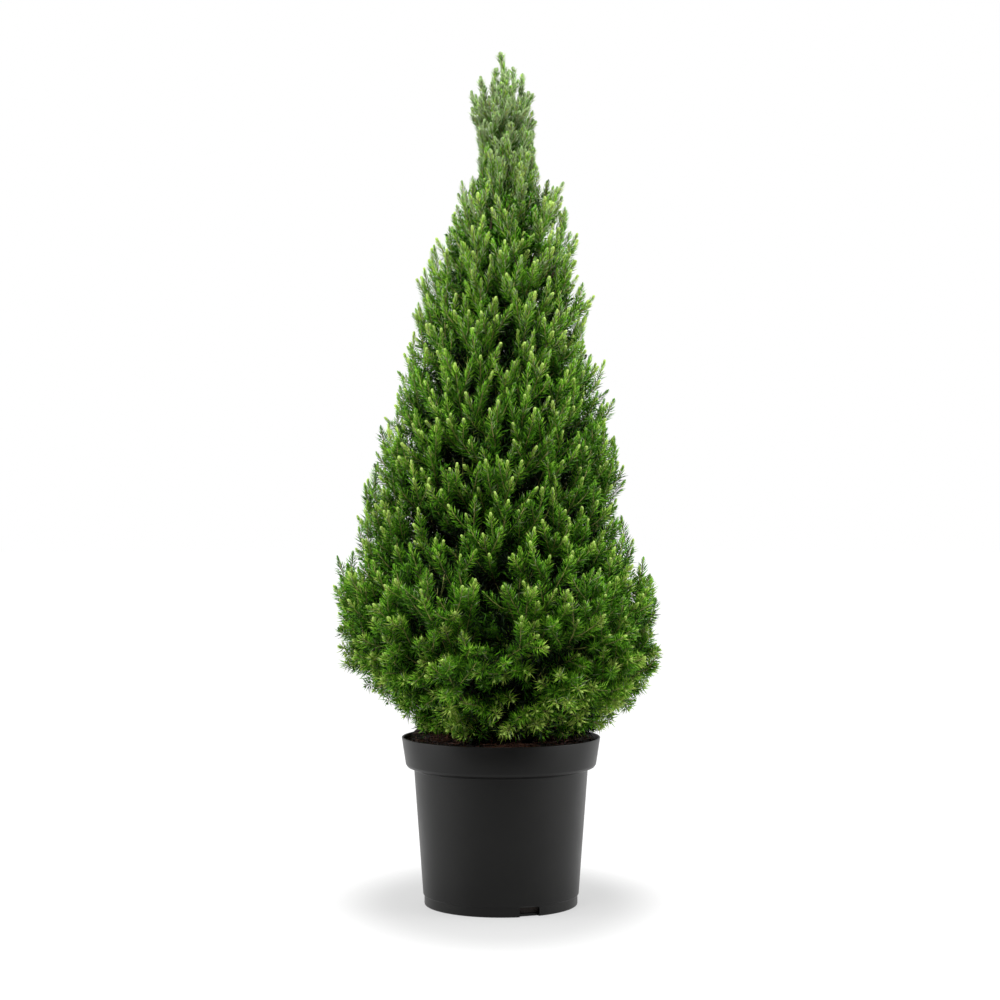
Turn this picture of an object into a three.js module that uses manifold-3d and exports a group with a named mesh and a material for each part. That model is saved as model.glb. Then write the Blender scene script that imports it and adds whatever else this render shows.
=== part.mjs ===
import * as THREE from "three";
import { mergeVertices } from "three/addons/utils/BufferGeometryUtils.js";
import Module from "manifold-3d";

// A dwarf Alberta spruce in its black nursery pot. Millimetres, +Z up.
// The origin is the middle of the pot's flat underside, and -Y is the front.

const wasm = await Module();
wasm.setup();

const gap = 0.35; // clearance between pieces that touch
const goldenAngle = Math.PI * (3 - Math.sqrt(5));
const up = new THREE.Vector3(0, 0, 1);

const pot = {
  height: 202,
  rimRadius: 120,
  rimFootRadius: 115, // the rim tapers a little down to its lower edge
  rimHeight: 34.5,
  rimEdge: 2, // height of the bevel under the rim, and nearly its width
  shoulderHeight: 4.5, // the step in from the rim to the body
  bodyRadius: 105,
  baseRadius: 94,
  footHeight: 13,
  footInset: 1.5,
  edgeRound: 2,
  wall: 2,
  floor: 3,
  segments: 36,
};

// Slots through the foot, from the underside up into the wall.
const drain = { count: 3, firstAngle: -68.5, width: 25, height: 11, depth: 16 };

// The soil heaps up from the pot's wall to a level patch round the trunk.
const soil = {
  edgeDrop: 8, // below the pot's rim
  crownRise: 1, // of the level patch, over the pot's rim
  patchRadius: 26,
  slope: [
    { across: 0.78, rise: 0.35 },
    { across: 0.55, rise: 0.75 },
  ],
  lump: 1.6,
};

const trunk = {
  foot: pot.height + soil.crownRise + gap,
  top: 952,
  footRadius: 10.5,
  tipRadius: 2.2,
  taper: 0.85,
  flare: 5, // extra radius of the root flare at the ground
  flareHeight: 7.5, // over which the flare falls to a third
  sway: 2.5,
  sides: 10,
  steps: 14,
};

// The outline that the furthest shoots reach, from the skirt over the rim to the tip.
const outlineStations = [
  { height: 207, radius: 106 },
  { height: 252, radius: 162 },
  { height: 305, radius: 194 }, // the belly
  { height: 388, radius: 196 },
  { height: 440, radius: 164 },
  { height: 540, radius: 147 },
  { height: 640, radius: 123 },
  { height: 735, radius: 103 },
  { height: 855, radius: 68 }, // the shoulder
  { height: 890, radius: 38 }, // the neck under the spire
  { height: 978, radius: 39 },
  { height: 1008, radius: 17 },
  { height: 1031, radius: 1 },
];
const crownTop = outlineStations.at(-1).height;
const neckHeight = outlineStations.at(-4).height;

// How strongly shoots turn up: at the skirt, further up the crown, and in the spire.
const upright = { low: 0.25, gain: 1.25, spireGain: 1.4 };

// The masses of foliage stand in tiers. A tier with a bough angle hangs each mass on a bough of its
// own, and one with a stem angle on a stem from the trunk.
const tiers = [
  { name: "skirt", height: 256, count: 6, reach: 0.58, turn: 0, boughAngle: 12 },
  { name: "belly", height: 364, count: 6, reach: 0.58, turn: 30, boughAngle: 32 },
  { name: "waist", height: 470, count: 5, reach: 0.56, turn: 12, boughAngle: 38 },
  { name: "middle", height: 574, count: 4, reach: 0.54, turn: 40, boughAngle: 43 },
  { name: "upper", height: 674, count: 3, reach: 0.52, turn: 5, boughAngle: 48 },
  { name: "shoulder", height: 784, count: 3, reach: 0.46, turn: 65, stemAngle: 50 },
  { name: "spire", height: 905, count: 3, reach: 0.38, turn: 20, stemAngle: 60 },
  { name: "leader", height: 992, count: 1, reach: 0, turn: 0 },
];

const scatter = { angle: 0.3, height: 14 }; // of the masses along their tier

const bough = { footRadius: 3.6, tipRadius: 2.1, lowest: 8, curl: 0.08, sides: 5, steps: 3 };
const stem = { radius: 1.9, tipRadius: 1.3, rise: 0.8, leaderTip: 996, sides: 5 };
const twig = { radius: 1.5, tipRadius: 1, sunk: 0.3, back: 0.7, firstFork: 0.12, lastFork: 0.97, sides: 3 };

// A spray stands for three shoots: a toothed blade, thickest along its rib.
const spray = {
  count: 266,
  spireCount: 42,
  length: 80,
  width: 21, // from the rib to the longest tooth
  spireLength: 50,
  spireWidth: 10,
  varies: 0.15, // of the length, either way
  thickness: 0.26, // half of it, as a share of the width
  ribAt: 0.5,
  teeth: [
    { along: 0, side: 0 },
    { along: 0.7, side: 1 },
    { along: 0.66, side: 0.34 },
    { along: 1, side: 0 },
  ],
  roll: 1.1, // radians either way about its own length
  clearOfRim: 2.5,
  attempts: 7,
  lean: 0.06, // how far a spray leans to the middle of its mass at each attempt
  shrink: 0.93,
  sunkVolume: 60, // cubic millimetres of a spray's root inside its core
};

// The dense inner crown lies this deep under the tips, and is hollow round the trunk.
const core = {
  bottom: 211,
  top: 1000,
  lowDepth: 48,
  highDepth: 22,
  hollow: 0.36, // of its radius
  trunkGap: 3,
  sideGap: 1.4,
  rings: 18,
  segments: 4, // for each mass of a tier
  fewestSegments: 9,
  lump: 11,
};

const colours = {
  pot: 0x2b2a29,
  soil: 0x1d1511,
  bark: 0x5a4531,
  foliage: 0x3c6420,
};

// ---- small helpers ----

function seeded(seed) {
  let state = seed >>> 0;
  return () => {
    state = (state + 0x6d2b79f5) >>> 0;
    let t = Math.imul(state ^ (state >>> 15), 1 | state);
    t = (t + Math.imul(t ^ (t >>> 7), 61 | t)) ^ t;
    return ((t ^ (t >>> 14)) >>> 0) / 4294967296;
  };
}

const degrees = THREE.MathUtils.degToRad;

function radial(angle) {
  return new THREE.Vector3(Math.cos(angle), Math.sin(angle), 0);
}

// A closed three.js geometry as a manifold-3d solid.
function toSolid(geometry) {
  const bare = geometry.clone();
  bare.deleteAttribute("normal");
  bare.deleteAttribute("uv");
  const merged = mergeVertices(bare, 1e-4);
  const index = merged.index.array;
  const kept = [];
  for (let i = 0; i < index.length; i += 3) {
    const [a, b, c] = [index[i], index[i + 1], index[i + 2]];
    if (a !== b && b !== c && a !== c) kept.push(a, b, c);
  }
  return new wasm.Manifold(
    new wasm.Mesh({
      numProp: 3,
      vertProperties: new Float32Array(merged.attributes.position.array),
      triVerts: new Uint32Array(kept),
    }),
  );
}

function toGeometry(solid) {
  const mesh = solid.getMesh();
  const geometry = new THREE.BufferGeometry();
  geometry.setAttribute("position", new THREE.BufferAttribute(mesh.vertProperties, mesh.numProp));
  geometry.setIndex(new THREE.BufferAttribute(mesh.triVerts, 1));
  const shown = geometry.toNonIndexed();
  shown.computeVertexNormals();
  return shown;
}

function joined(solids) {
  return solids.reduce((sum, solid) => sum.add(solid));
}

function touches(solid, others) {
  return others.some((other) => solid.intersect(other).volume() > 0);
}

// A lathed solid: the profile's x is the radius and its y the height.
function turned(profile, segments) {
  const geometry = new THREE.LatheGeometry(profile, segments);
  geometry.rotateX(Math.PI / 2);
  return geometry;
}

// A round limb along a curve, its radius given by radiusAt(share of the length).
function limbGeometry(curve, radiusAt, sides, steps) {
  const geometry = new THREE.CylinderGeometry(1, 1, 1, sides, steps);
  const frames = curve.computeFrenetFrames(steps, false);
  const position = geometry.getAttribute("position");
  const point = new THREE.Vector3();
  for (let i = 0; i < position.count; i++) {
    const share = position.getY(i) + 0.5;
    const station = Math.round(share * steps);
    curve.getPointAt(share, point);
    point.addScaledVector(frames.binormals[station], position.getX(i) * radiusAt(share));
    point.addScaledVector(frames.normals[station], position.getZ(i) * radiusAt(share));
    position.setXYZ(i, point.x, point.y, point.z);
  }
  return geometry;
}

function straightLimb(from, to, radius, endRadius, sides) {
  const line = new THREE.LineCurve3(from, to);
  return limbGeometry(line, (t) => THREE.MathUtils.lerp(radius, endRadius, t), sides, 1);
}

// ---- the crown's outline ----

const outlineCurve = new THREE.SplineCurve(
  outlineStations.map(({ radius, height }) => new THREE.Vector2(radius, height)),
);
const outline = outlineCurve.getPoints(240).map((p) => ({ radius: Math.max(p.x, 0.5), height: p.y }));

function outlineIndex(height) {
  const at = outline.findIndex((p) => p.height >= height);
  return at < 0 ? outline.length - 1 : Math.max(at, 1);
}

function crownRadius(height) {
  const at = outlineIndex(height);
  const [low, high] = [outline[at - 1], outline[at]];
  const share = (height - low.height) / (high.height - low.height || 1);
  return THREE.MathUtils.lerp(low.radius, high.radius, THREE.MathUtils.clamp(share, 0, 1));
}

// The outward normal of the outline, in the upright plane of an angle.
function crownNormal(height, angle) {
  const at = outlineIndex(height);
  const rise = outline[at].height - outline[at - 1].height;
  const spread = outline[at].radius - outline[at - 1].radius;
  return radial(angle).multiplyScalar(rise).addScaledVector(up, -spread).normalize();
}

// Shoots point out at the skirt and stand ever more upright, most of all in the spire.
function shootDirection(height, angle) {
  const lowest = outlineStations[0].height;
  const rise = (height - lowest) / (crownTop - lowest);
  const { low, gain, spireGain } = upright;
  const lift = low + gain * Math.sqrt(rise) + spireGain * THREE.MathUtils.smoothstep(rise, 0.7, 0.88);
  return crownNormal(height, angle).addScaledVector(up, lift).normalize();
}

// Tips spread evenly over the outline by the golden angle, each ring of it in turn.
function shootTips(count, lowest, highest) {
  const rings = outline.filter((p) => p.height >= lowest && p.height <= highest);
  const areas = [0];
  for (let i = 1; i < rings.length; i++) {
    const [a, b] = [rings[i - 1], rings[i]];
    const slant = Math.hypot(b.radius - a.radius, b.height - a.height);
    areas.push(areas[i - 1] + slant * (a.radius + b.radius));
  }
  return Array.from({ length: count }, (_, k) => {
    const wanted = ((k + 0.5) / count) * areas.at(-1);
    const at = areas.findIndex((area) => area >= wanted);
    const share = (wanted - areas[at - 1]) / (areas[at] - areas[at - 1]);
    const height = THREE.MathUtils.lerp(rings[at - 1].height, rings[at].height, share);
    return { height, angle: k * goldenAngle };
  });
}

// ---- the masses and the room that each keeps to ----

const masses = tiers.flatMap((tier, t) =>
  Array.from({ length: tier.count }, (_, k) => {
    const random = seeded(100 * t + k + 1);
    const angle = degrees(tier.turn) + ((k + scatter.angle * (random() - 0.5)) * 2 * Math.PI) / tier.count;
    const height = tier.height + (tier.count > 1 ? scatter.height * (random() - 0.5) : 0);
    const reach = crownRadius(height) * tier.reach;
    const middle = radial(angle).multiplyScalar(reach).setZ(height);
    const name = tier.count > 1 ? `${tier.name}_${k + 1}` : tier.name;
    return { name, tier, angle, middle, reach, random };
  }),
);

// How far a point lies inside the room of a mass: nearer to its middle than to any other's.
function roomAt(point, mass) {
  const own = point.distanceToSquared(mass.middle);
  let room = Infinity;
  for (const other of masses) {
    if (other === mass) continue;
    const between = mass.middle.distanceTo(other.middle);
    room = Math.min(room, (point.distanceToSquared(other.middle) - own) / (2 * between));
  }
  return room;
}

// ---- pot and soil ----

const rimFoot = pot.height - pot.rimHeight;
const shoulder = rimFoot - pot.shoulderHeight;
const rimStep = pot.rimFootRadius - pot.rimEdge; // the body's radius right under the rim
const foot = pot.baseRadius - pot.footInset;

function turnedProfile(points, segments) {
  return turned(points.map(([r, z]) => new THREE.Vector2(r, z)), segments);
}

function potSolid() {
  const { height, wall, floor, edgeRound, rimRadius, rimFootRadius, rimEdge, bodyRadius, baseRadius } = pot;
  const round = wall / 2;
  const bevel = 0.3 * edgeRound;
  const shell = turnedProfile(
    [
      [0, 0],
      [foot - edgeRound, 0],
      [foot - bevel, bevel],
      [foot, edgeRound],
      [foot, pot.footHeight - pot.footInset],
      [baseRadius, pot.footHeight],
      [bodyRadius, shoulder],
      [rimStep, rimFoot - round],
      [rimFootRadius, rimFoot + rimEdge],
      [rimRadius, height - round],
      [rimRadius - round, height],
      [rimRadius - wall, height - round],
      [rimFootRadius - wall, rimFoot + rimEdge + round],
      [rimStep - wall, rimFoot + wall],
      [bodyRadius - wall, shoulder + wall],
      [foot - wall, floor + edgeRound],
      [foot - wall - edgeRound, floor],
      [0, floor],
    ],
    pot.segments,
  );
  let body = toSolid(shell);
  for (let k = 0; k < drain.count; k++) {
    const slot = new THREE.BoxGeometry(drain.depth, drain.width, 2 * drain.height);
    slot.translate(baseRadius, 0, 0);
    slot.rotateZ(degrees(drain.firstAngle) + (k * 2 * Math.PI) / drain.count);
    body = body.subtract(toSolid(slot));
  }
  return body;
}

// The soil fills the pot, clear of its wall, and steps in over the drainage slots.
function soilGeometry() {
  const top = pot.height - soil.edgeDrop;
  const patch = pot.height + soil.crownRise;
  const inside = pot.wall + 1.5 * gap;
  const slotClear = pot.baseRadius - drain.depth / 2 - gap;
  // The rim's inner wall leans out by this much for each millimetre of height.
  const rimLean = (pot.rimRadius - pot.rimFootRadius) / (pot.rimHeight - pot.rimEdge);
  const edge = pot.rimFootRadius - inside + rimLean * (top - rimFoot - pot.rimEdge - gap);
  const lathed = turnedProfile(
    [
      [0, pot.floor + gap],
      [slotClear, pot.floor + gap],
      [slotClear, drain.height + gap],
      [foot - inside, drain.height + gap],
      [pot.bodyRadius - inside, shoulder + pot.wall],
      [rimStep - inside, rimFoot + pot.wall + gap],
      [pot.rimFootRadius - inside, rimFoot + pot.rimEdge + pot.wall / 2 + gap],
      [edge, top],
      ...soil.slope.map(({ across, rise }) => [across * edge, top + rise * (patch - top)]),
      [soil.patchRadius, patch],
      [0, patch],
    ],
    pot.segments,
  );
  const geometry = mergeVertices(lathed.deleteAttribute("normal").deleteAttribute("uv"), 1e-3);
  const random = seeded(7);
  const position = geometry.getAttribute("position");
  for (let i = 0; i < position.count; i++) {
    const onSlope = position.getZ(i) > top - gap && position.getZ(i) < patch - gap;
    if (onSlope) position.setZ(i, position.getZ(i) + soil.lump * (2 * random() - 1));
  }
  return geometry;
}

// ---- limbs ----

const trunkCurve = new THREE.CatmullRomCurve3(
  [0, 0.3, 0.65, 1].map((share) => {
    const bend = trunk.sway * Math.sin(share * 2 * Math.PI);
    return new THREE.Vector3(bend, -0.6 * bend, THREE.MathUtils.lerp(trunk.foot, trunk.top, share));
  }),
);

function trunkRadius(share) {
  const height = share * (trunk.top - trunk.foot);
  const tapered = THREE.MathUtils.lerp(trunk.footRadius, trunk.tipRadius, Math.pow(share, trunk.taper));
  return tapered + trunk.flare * Math.exp(-height / trunk.flareHeight);
}

function trunkAt(height) {
  const share = THREE.MathUtils.clamp((height - trunk.foot) / (trunk.top - trunk.foot), 0, 1);
  return { point: trunkCurve.getPointAt(share), radius: trunkRadius(share) };
}

function trunkGeometry(extra = 0) {
  const steps = extra ? trunk.steps / 2 : trunk.steps;
  const geometry = limbGeometry(trunkCurve, (t) => trunkRadius(t) + extra, trunk.sides, steps);
  const position = geometry.getAttribute("position");
  for (let i = 0; i < position.count; i++) {
    // The first ring is made level, so that the foot is one flat cut.
    if (Math.abs(position.getZ(i) - trunk.foot) < 2) position.setZ(i, trunk.foot);
  }
  return geometry;
}

// A bough leaves the bark and rises in a shallow curve to the inner side of its mass.
function boughCurve(mass) {
  const slope = Math.tan(degrees(mass.tier.boughAngle));
  const run = hollowRadius(mass.middle.z);
  const end = radial(mass.angle).multiplyScalar(run).setZ(mass.middle.z - slope * (mass.reach - run));
  const footHeight = Math.max(end.z - slope * run, trunk.foot + bough.lowest);
  const { point, radius } = trunkAt(footHeight);
  const foot = point.clone().addScaledVector(radial(mass.angle), radius + 2 * gap);
  foot.z = footHeight;
  const half = foot.clone().lerp(end, 0.5);
  half.z -= bough.curl * foot.distanceTo(end);
  return new THREE.QuadraticBezierCurve3(foot, half, end);
}

function boughRadius(share) {
  return THREE.MathUtils.lerp(bough.footRadius, bough.tipRadius, share);
}

// The foot is cut clear of the trunk by its own shape, grown by the gap.
const grownTrunk = toSolid(trunkGeometry(gap));

function boughSolid(mass, extra = 0) {
  const radiusAt = (share) => boughRadius(share) * mass.thickness + extra;
  return toSolid(limbGeometry(mass.boughCurve, radiusAt, bough.sides, bough.steps));
}

// ---- foliage ----

// A flat ball of one ring becomes the blade: its ring is the toothed outline, its poles the rib.
function sprayGeometry(root, direction, face, length, width) {
  const steps = spray.teeth.length - 1;
  const geometry = new THREE.SphereGeometry(1, 2 * steps, 2);
  const position = geometry.getAttribute("position");
  for (let i = 0; i < position.count; i++) {
    const [x, y, z] = [position.getX(i), position.getY(i), position.getZ(i)];
    if (Math.abs(y) > 0.5) {
      position.setXYZ(i, spray.ribAt * length, y * spray.thickness * width, 0);
      continue;
    }
    const turn = Math.round((Math.atan2(z, -x) / Math.PI) * steps);
    const tooth = spray.teeth[Math.abs(turn)];
    position.setXYZ(i, tooth.along * length, 0, Math.sign(turn) * tooth.side * width);
  }
  const across = direction.clone().cross(face).normalize();
  const outward = across.clone().cross(direction);
  geometry.applyMatrix4(new THREE.Matrix4().makeBasis(direction, outward, across).setPosition(root));
  return geometry;
}

function staysInRoom(geometry, mass) {
  const position = geometry.getAttribute("position");
  const point = new THREE.Vector3();
  for (let i = 0; i < position.count; i++) {
    point.fromBufferAttribute(position, i);
    if (point.z < pot.height + spray.clearOfRim || roomAt(point, mass) < gap) return false;
  }
  return true;
}

function coreRadius(height) {
  const share = (height - core.bottom) / (core.top - core.bottom);
  return Math.max(crownRadius(height) - THREE.MathUtils.lerp(core.lowDepth, core.highDepth, share), 3);
}

function hollowRadius(height) {
  return Math.max(core.hollow * coreRadius(height), trunkAt(height).radius + core.trunkGap);
}

// The inner crown in one piece: a lumpy lathed shell, closed over the trunk's top. A tier of many
// masses takes it with more segments round.
function innerCrown(tier) {
  const segments = Math.max(tier.count * core.segments, core.fewestSegments);
  const heights = Array.from({ length: core.rings + 1 }, (_, k) =>
    THREE.MathUtils.lerp(core.bottom, core.top, k / core.rings),
  );
  const outside = heights.map((z) => [coreRadius(z), z]);
  const lid = trunk.top + core.trunkGap;
  const hollow = heights.filter((z, k) => z < lid && k % 2 === 0).map((z) => [hollowRadius(z), z]);
  const profile = [...outside, [0, core.top], [0, lid], [hollowRadius(lid), lid], ...hollow.reverse()];
  const points = [...profile, outside[0]].map(([r, z]) => new THREE.Vector2(r, z));
  const geometry = mergeVertices(
    turned(points, segments).deleteAttribute("normal").deleteAttribute("uv"),
    1e-3,
  );
  const random = seeded(11);
  const position = geometry.getAttribute("position");
  for (let i = 0; i < position.count; i++) {
    const [x, y, z] = [position.getX(i), position.getY(i), position.getZ(i)];
    const r = Math.hypot(x, y);
    if (r < coreRadius(z) - 0.1 || r < core.trunkGap) continue;
    const swell = 1 + (core.lump * (2 * random() - 1)) / (r + 2 * core.lump);
    position.setXYZ(i, x * swell, y * swell, Math.max(z + core.lump * (random() - 0.5), core.bottom));
  }
  return toSolid(geometry);
}

// Cuts a solid back to the room of a mass by a block on the far side of each neighbour's bisector.
function cutToRoom(solid, mass) {
  const size = 2 * crownTop;
  for (const other of masses) {
    if (other === mass) continue;
    const away = other.middle.clone().sub(mass.middle);
    const block = new THREE.BoxGeometry(size, size, size);
    block.translate(0, 0, (size + away.length()) / 2 - core.sideGap);
    block.applyQuaternion(new THREE.Quaternion().setFromUnitVectors(up, away.normalize()));
    block.translate(...mass.middle);
    solid = solid.subtract(toSolid(block));
  }
  return solid;
}

// Where the mass's own stem starts: clear of its bough's tip, or of the trunk.
function stemFoot(mass) {
  if (mass.boughCurve) {
    return mass.boughCurve.getPoint(1).addScaledVector(mass.boughCurve.getTangent(1), gap);
  }
  if (!mass.tier.stemAngle) {
    return trunkCurve.getPoint(1).setZ(trunk.top + gap);
  }
  const fall = stem.rise * mass.reach * Math.tan(degrees(mass.tier.stemAngle));
  const { point, radius } = trunkAt(mass.middle.z - fall);
  return point.clone().addScaledVector(radial(mass.angle), radius + gap + stem.radius);
}

// Where a twig leaves the stem of its mass on its way to a point.
function branchPoint(mass, point) {
  const line = new THREE.Line3(mass.stemFoot, mass.stemTip);
  const nearest = line.closestPointToPoint(point, true, new THREE.Vector3());
  const back = (twig.back * nearest.distanceTo(point)) / line.distance();
  const share = line.closestPointToPointParameter(point, true) - back;
  return line.at(THREE.MathUtils.clamp(share, twig.firstFork, twig.lastFork), nearest);
}

// One spray, leaned in and shrunk until it fits its room, with a twig where it isn't rooted in the
// core. It is null where nothing fits.
function grownSpray(mass, tip, body) {
  const inSpire = tip.height > neckHeight;
  const direction = shootDirection(tip.height, tip.angle);
  const vary = 1 + spray.varies * (2 * mass.random() - 1);
  const roll = spray.roll * (2 * mass.random() - 1);
  const face = crownNormal(tip.height, tip.angle).applyAxisAngle(direction, roll);
  let length = (inSpire ? spray.spireLength : spray.length) * vary;
  let width = inSpire ? spray.spireWidth : spray.width;
  const end = tip.point.clone();
  for (let attempt = 0; attempt < spray.attempts; attempt++) {
    const root = end.clone().addScaledVector(direction, -length);
    const geometry = sprayGeometry(root, direction, face, length, width);
    if (staysInRoom(geometry, mass)) {
      const blade = toSolid(geometry);
      const rooted = body.intersect(blade).volume() > spray.sunkVolume;
      if (rooted && !touches(blade, limbs)) return blade;
      const sunk = root.clone().addScaledVector(direction, twig.sunk * length);
      const branch = branchPoint(mass, root);
      const path = straightLimb(branch, sunk, twig.radius, twig.tipRadius, twig.sides);
      const grown = blade.add(toSolid(path));
      const fits = !rooted && roomAt(sunk, mass) > 2 * twig.radius;
      if (fits && !touches(grown, limbs)) return grown;
    }
    end.lerp(mass.middle, spray.lean);
    length *= spray.shrink;
    width *= spray.shrink;
  }
  return null;
}

function massSolid(mass, tips) {
  const stemSolid = toSolid(
    straightLimb(mass.stemFoot, mass.stemTip, stem.radius, stem.tipRadius, stem.sides),
  );
  const room = cutToRoom(mass.tier.innerCrown, mass);
  const body = limbs.reduce((solid, limb) => solid.subtract(limb), room).add(stemSolid);
  const grown = [];
  for (const tip of tips) {
    const solid = grownSpray(mass, tip, body);
    if (solid) grown.push(solid);
  }
  return joined([body, ...grown]);
}

// ---- assembly ----

const root = new THREE.Group();
root.name = "potted_alberta_spruce";

function addMesh(name, geometry, material, parent = root) {
  const mesh = new THREE.Mesh(geometry, material);
  mesh.name = name;
  parent.add(mesh);
}

const materials = {
  pot: new THREE.MeshStandardMaterial({ color: colours.pot, roughness: 0.45, metalness: 0 }),
  soil: new THREE.MeshStandardMaterial({ color: colours.soil, roughness: 0.95, metalness: 0 }),
  bark: new THREE.MeshStandardMaterial({ color: colours.bark, roughness: 0.9, metalness: 0 }),
  foliage: new THREE.MeshStandardMaterial({ color: colours.foliage, roughness: 0.6, metalness: 0 }),
};

addMesh("pot", toGeometry(potSolid()), materials.pot);
addMesh("soil", soilGeometry(), materials.soil);
addMesh("trunk", trunkGeometry(), materials.bark);

for (const mass of masses) {
  mass.thickness = THREE.MathUtils.lerp(0.55, 1, mass.reach / masses[0].reach);
  if (mass.tier.boughAngle) mass.boughCurve = boughCurve(mass);
  mass.stemFoot = stemFoot(mass);
  mass.stemTip = mass.reach ? mass.middle : new THREE.Vector3(0, 0, stem.leaderTip);
}
const boughs = new THREE.Group();
const bearing = masses.filter((mass) => mass.boughCurve);
for (const mass of bearing) {
  const solid = boughSolid(mass).subtract(grownTrunk);
  addMesh(`bough_${mass.name}`, toGeometry(solid), materials.bark, boughs);
}

const foliage = new THREE.Group();
const tips = [
  { height: crownTop, angle: 0 },
  ...shootTips(spray.count - spray.spireCount, outlineStations[0].height, neckHeight),
  ...shootTips(spray.spireCount, neckHeight, crownTop),
];
for (const tip of tips) {
  tip.point = radial(tip.angle).multiplyScalar(crownRadius(tip.height)).setZ(tip.height);
  tip.mass = masses.reduce((best, mass) =>
    tip.point.distanceTo(mass.middle) < tip.point.distanceTo(best.middle) ? mass : best,
  );
}
for (const tier of tiers) tier.innerCrown = innerCrown(tier);
const limbs = [grownTrunk, ...bearing.map((mass) => boughSolid(mass, gap))];
for (const mass of masses) {
  const own = tips.filter((tip) => tip.mass === mass);
  addMesh(`foliage_${mass.name}`, toGeometry(massSolid(mass, own)), materials.foliage, foliage);
}
root.add(boughs, foliage);

export default root;
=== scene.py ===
import math
import bmesh
import bpy
import numpy as np
from mathutils import Matrix, Vector, noise


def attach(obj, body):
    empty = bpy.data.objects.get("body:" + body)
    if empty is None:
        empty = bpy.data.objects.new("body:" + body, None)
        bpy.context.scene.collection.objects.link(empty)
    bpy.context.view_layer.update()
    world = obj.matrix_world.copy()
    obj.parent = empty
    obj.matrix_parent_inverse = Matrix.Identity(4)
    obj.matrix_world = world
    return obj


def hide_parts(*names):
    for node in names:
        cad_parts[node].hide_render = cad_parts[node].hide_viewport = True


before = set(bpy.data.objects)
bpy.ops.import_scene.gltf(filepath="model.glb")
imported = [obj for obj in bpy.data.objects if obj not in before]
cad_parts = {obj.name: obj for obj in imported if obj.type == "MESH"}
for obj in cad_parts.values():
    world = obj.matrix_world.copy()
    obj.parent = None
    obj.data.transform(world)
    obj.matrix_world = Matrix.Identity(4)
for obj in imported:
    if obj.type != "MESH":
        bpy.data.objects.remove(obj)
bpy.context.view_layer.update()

# Dwarf spruce in a nursery pot. The settings are in millimetres, the meshes in metres.
mm = 0.001
goldenAngle = math.pi * (3 - math.sqrt(5))
nodeNames = sorted(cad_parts)
foliageNodes = [name for name in nodeNames if name.startswith("foliage")]
boughNodes = [name for name in nodeNames if name.startswith("bough")]


# A long lens, level and in front of the plant.
camera = {
    "lens": 76.9,
    "position": (-1.2, -2584.0, 487.6),
    "clipEnd": 20.0,  # metres
}


def placeCamera():
    data = bpy.data.cameras.new("camera")
    data.lens = camera["lens"]
    data.clip_end = camera["clipEnd"]
    shown = bpy.data.objects.new("camera", data)
    shown.location = Vector(camera["position"]) * mm
    shown.rotation_euler = (math.pi / 2, 0, 0)
    bpy.context.scene.collection.objects.link(shown)
    bpy.context.scene.camera = shown


placeCamera()


def linear(hexCode):  # an sRGB colour with its gamma taken out
    parts = [int(hexCode[i:i + 2], 16) / 255 for i in (1, 3, 5)]
    return [p / 12.92 if p <= 0.04045 else ((p + 0.055) / 1.055) ** 2.4 for p in parts] + [1.0]


def seeded(seed):  # the same draws as the solids', so that the masses stand in the same places
    state = [seed]

    def draw():
        state[0] = (state[0] + 0x6D2B79F5) & 0xFFFFFFFF
        s = state[0]
        t = ((s ^ (s >> 15)) * (1 | s)) & 0xFFFFFFFF
        t = ((t + (((t ^ (t >> 7)) * (61 | t)) & 0xFFFFFFFF)) & 0xFFFFFFFF) ^ t
        return ((t ^ (t >> 14)) & 0xFFFFFFFF) / 4294967296
    return draw


def smoothstep(low, high, x):  # 0 up to low, 1 from high on
    t = np.clip((x - low) / (high - low), 0, 1)
    return t * t * (3 - 2 * t)


def unit(v):
    return v / np.maximum(np.linalg.norm(v, axis=-1, keepdims=True), 1e-9)


def linkMesh(mesh, name, material, replaced=()):  # replaced: the solids that the piece stands for
    piece = bpy.data.objects.new(name, mesh)
    bpy.context.scene.collection.objects.link(piece)
    mesh.materials.append(material)
    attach(piece, "root")
    if replaced:
        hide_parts(*replaced)
    return piece


def meshFromArrays(name, verts, faces):  # for thousands of like pieces; faces: rows of corners
    mesh = bpy.data.meshes.new(name)
    count, corners = faces.shape
    mesh.vertices.add(len(verts))
    mesh.vertices.foreach_set("co", (verts * mm).astype(np.float32).ravel())
    mesh.loops.add(count * corners)
    mesh.loops.foreach_set("vertex_index", faces.astype(np.int32).ravel())
    mesh.polygons.add(count)
    mesh.polygons.foreach_set("loop_start", np.arange(0, count * corners, corners, dtype=np.int32))
    mesh.update(calc_edges=True)
    return mesh


def meshFromBmesh(bm, name, smooth=True):
    bmesh.ops.scale(bm, vec=(mm, mm, mm), verts=bm.verts)
    bmesh.ops.recalc_face_normals(bm, faces=bm.faces)
    mesh = bpy.data.meshes.new(name)
    bm.to_mesh(mesh)
    bm.free()
    mesh.polygons.foreach_set("use_smooth", [smooth] * len(mesh.polygons))
    return mesh


def newMaterial(name):
    material = bpy.data.materials.new(name)
    material.use_nodes = True
    material.node_tree.nodes.clear()
    return material, material.node_tree


def perMetre(size):  # a pattern's scale, from its real size in millimetres
    return 1 / (size * mm)


def addNode(tree, kind, settings=None, links=None):
    node = tree.nodes.new(kind)
    for key, value in (settings or {}).items():
        if isinstance(key, int) or key in node.inputs:
            node.inputs[key].default_value = value
        else:
            setattr(node, key, value)
    for key, source in (links or {}).items():
        tree.links.new(source, node.inputs[key])
    return node


def rampNode(tree, source, stops):  # stops: (position, hex colour)
    node = addNode(tree, "ShaderNodeValToRGB", links={"Fac": source})
    elements = node.color_ramp.elements
    while len(elements) < len(stops):
        elements.new(0.5)
    for element, (position, hexCode) in zip(elements, stops):
        element.position = position
        element.color = linear(hexCode)
    return node


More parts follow.
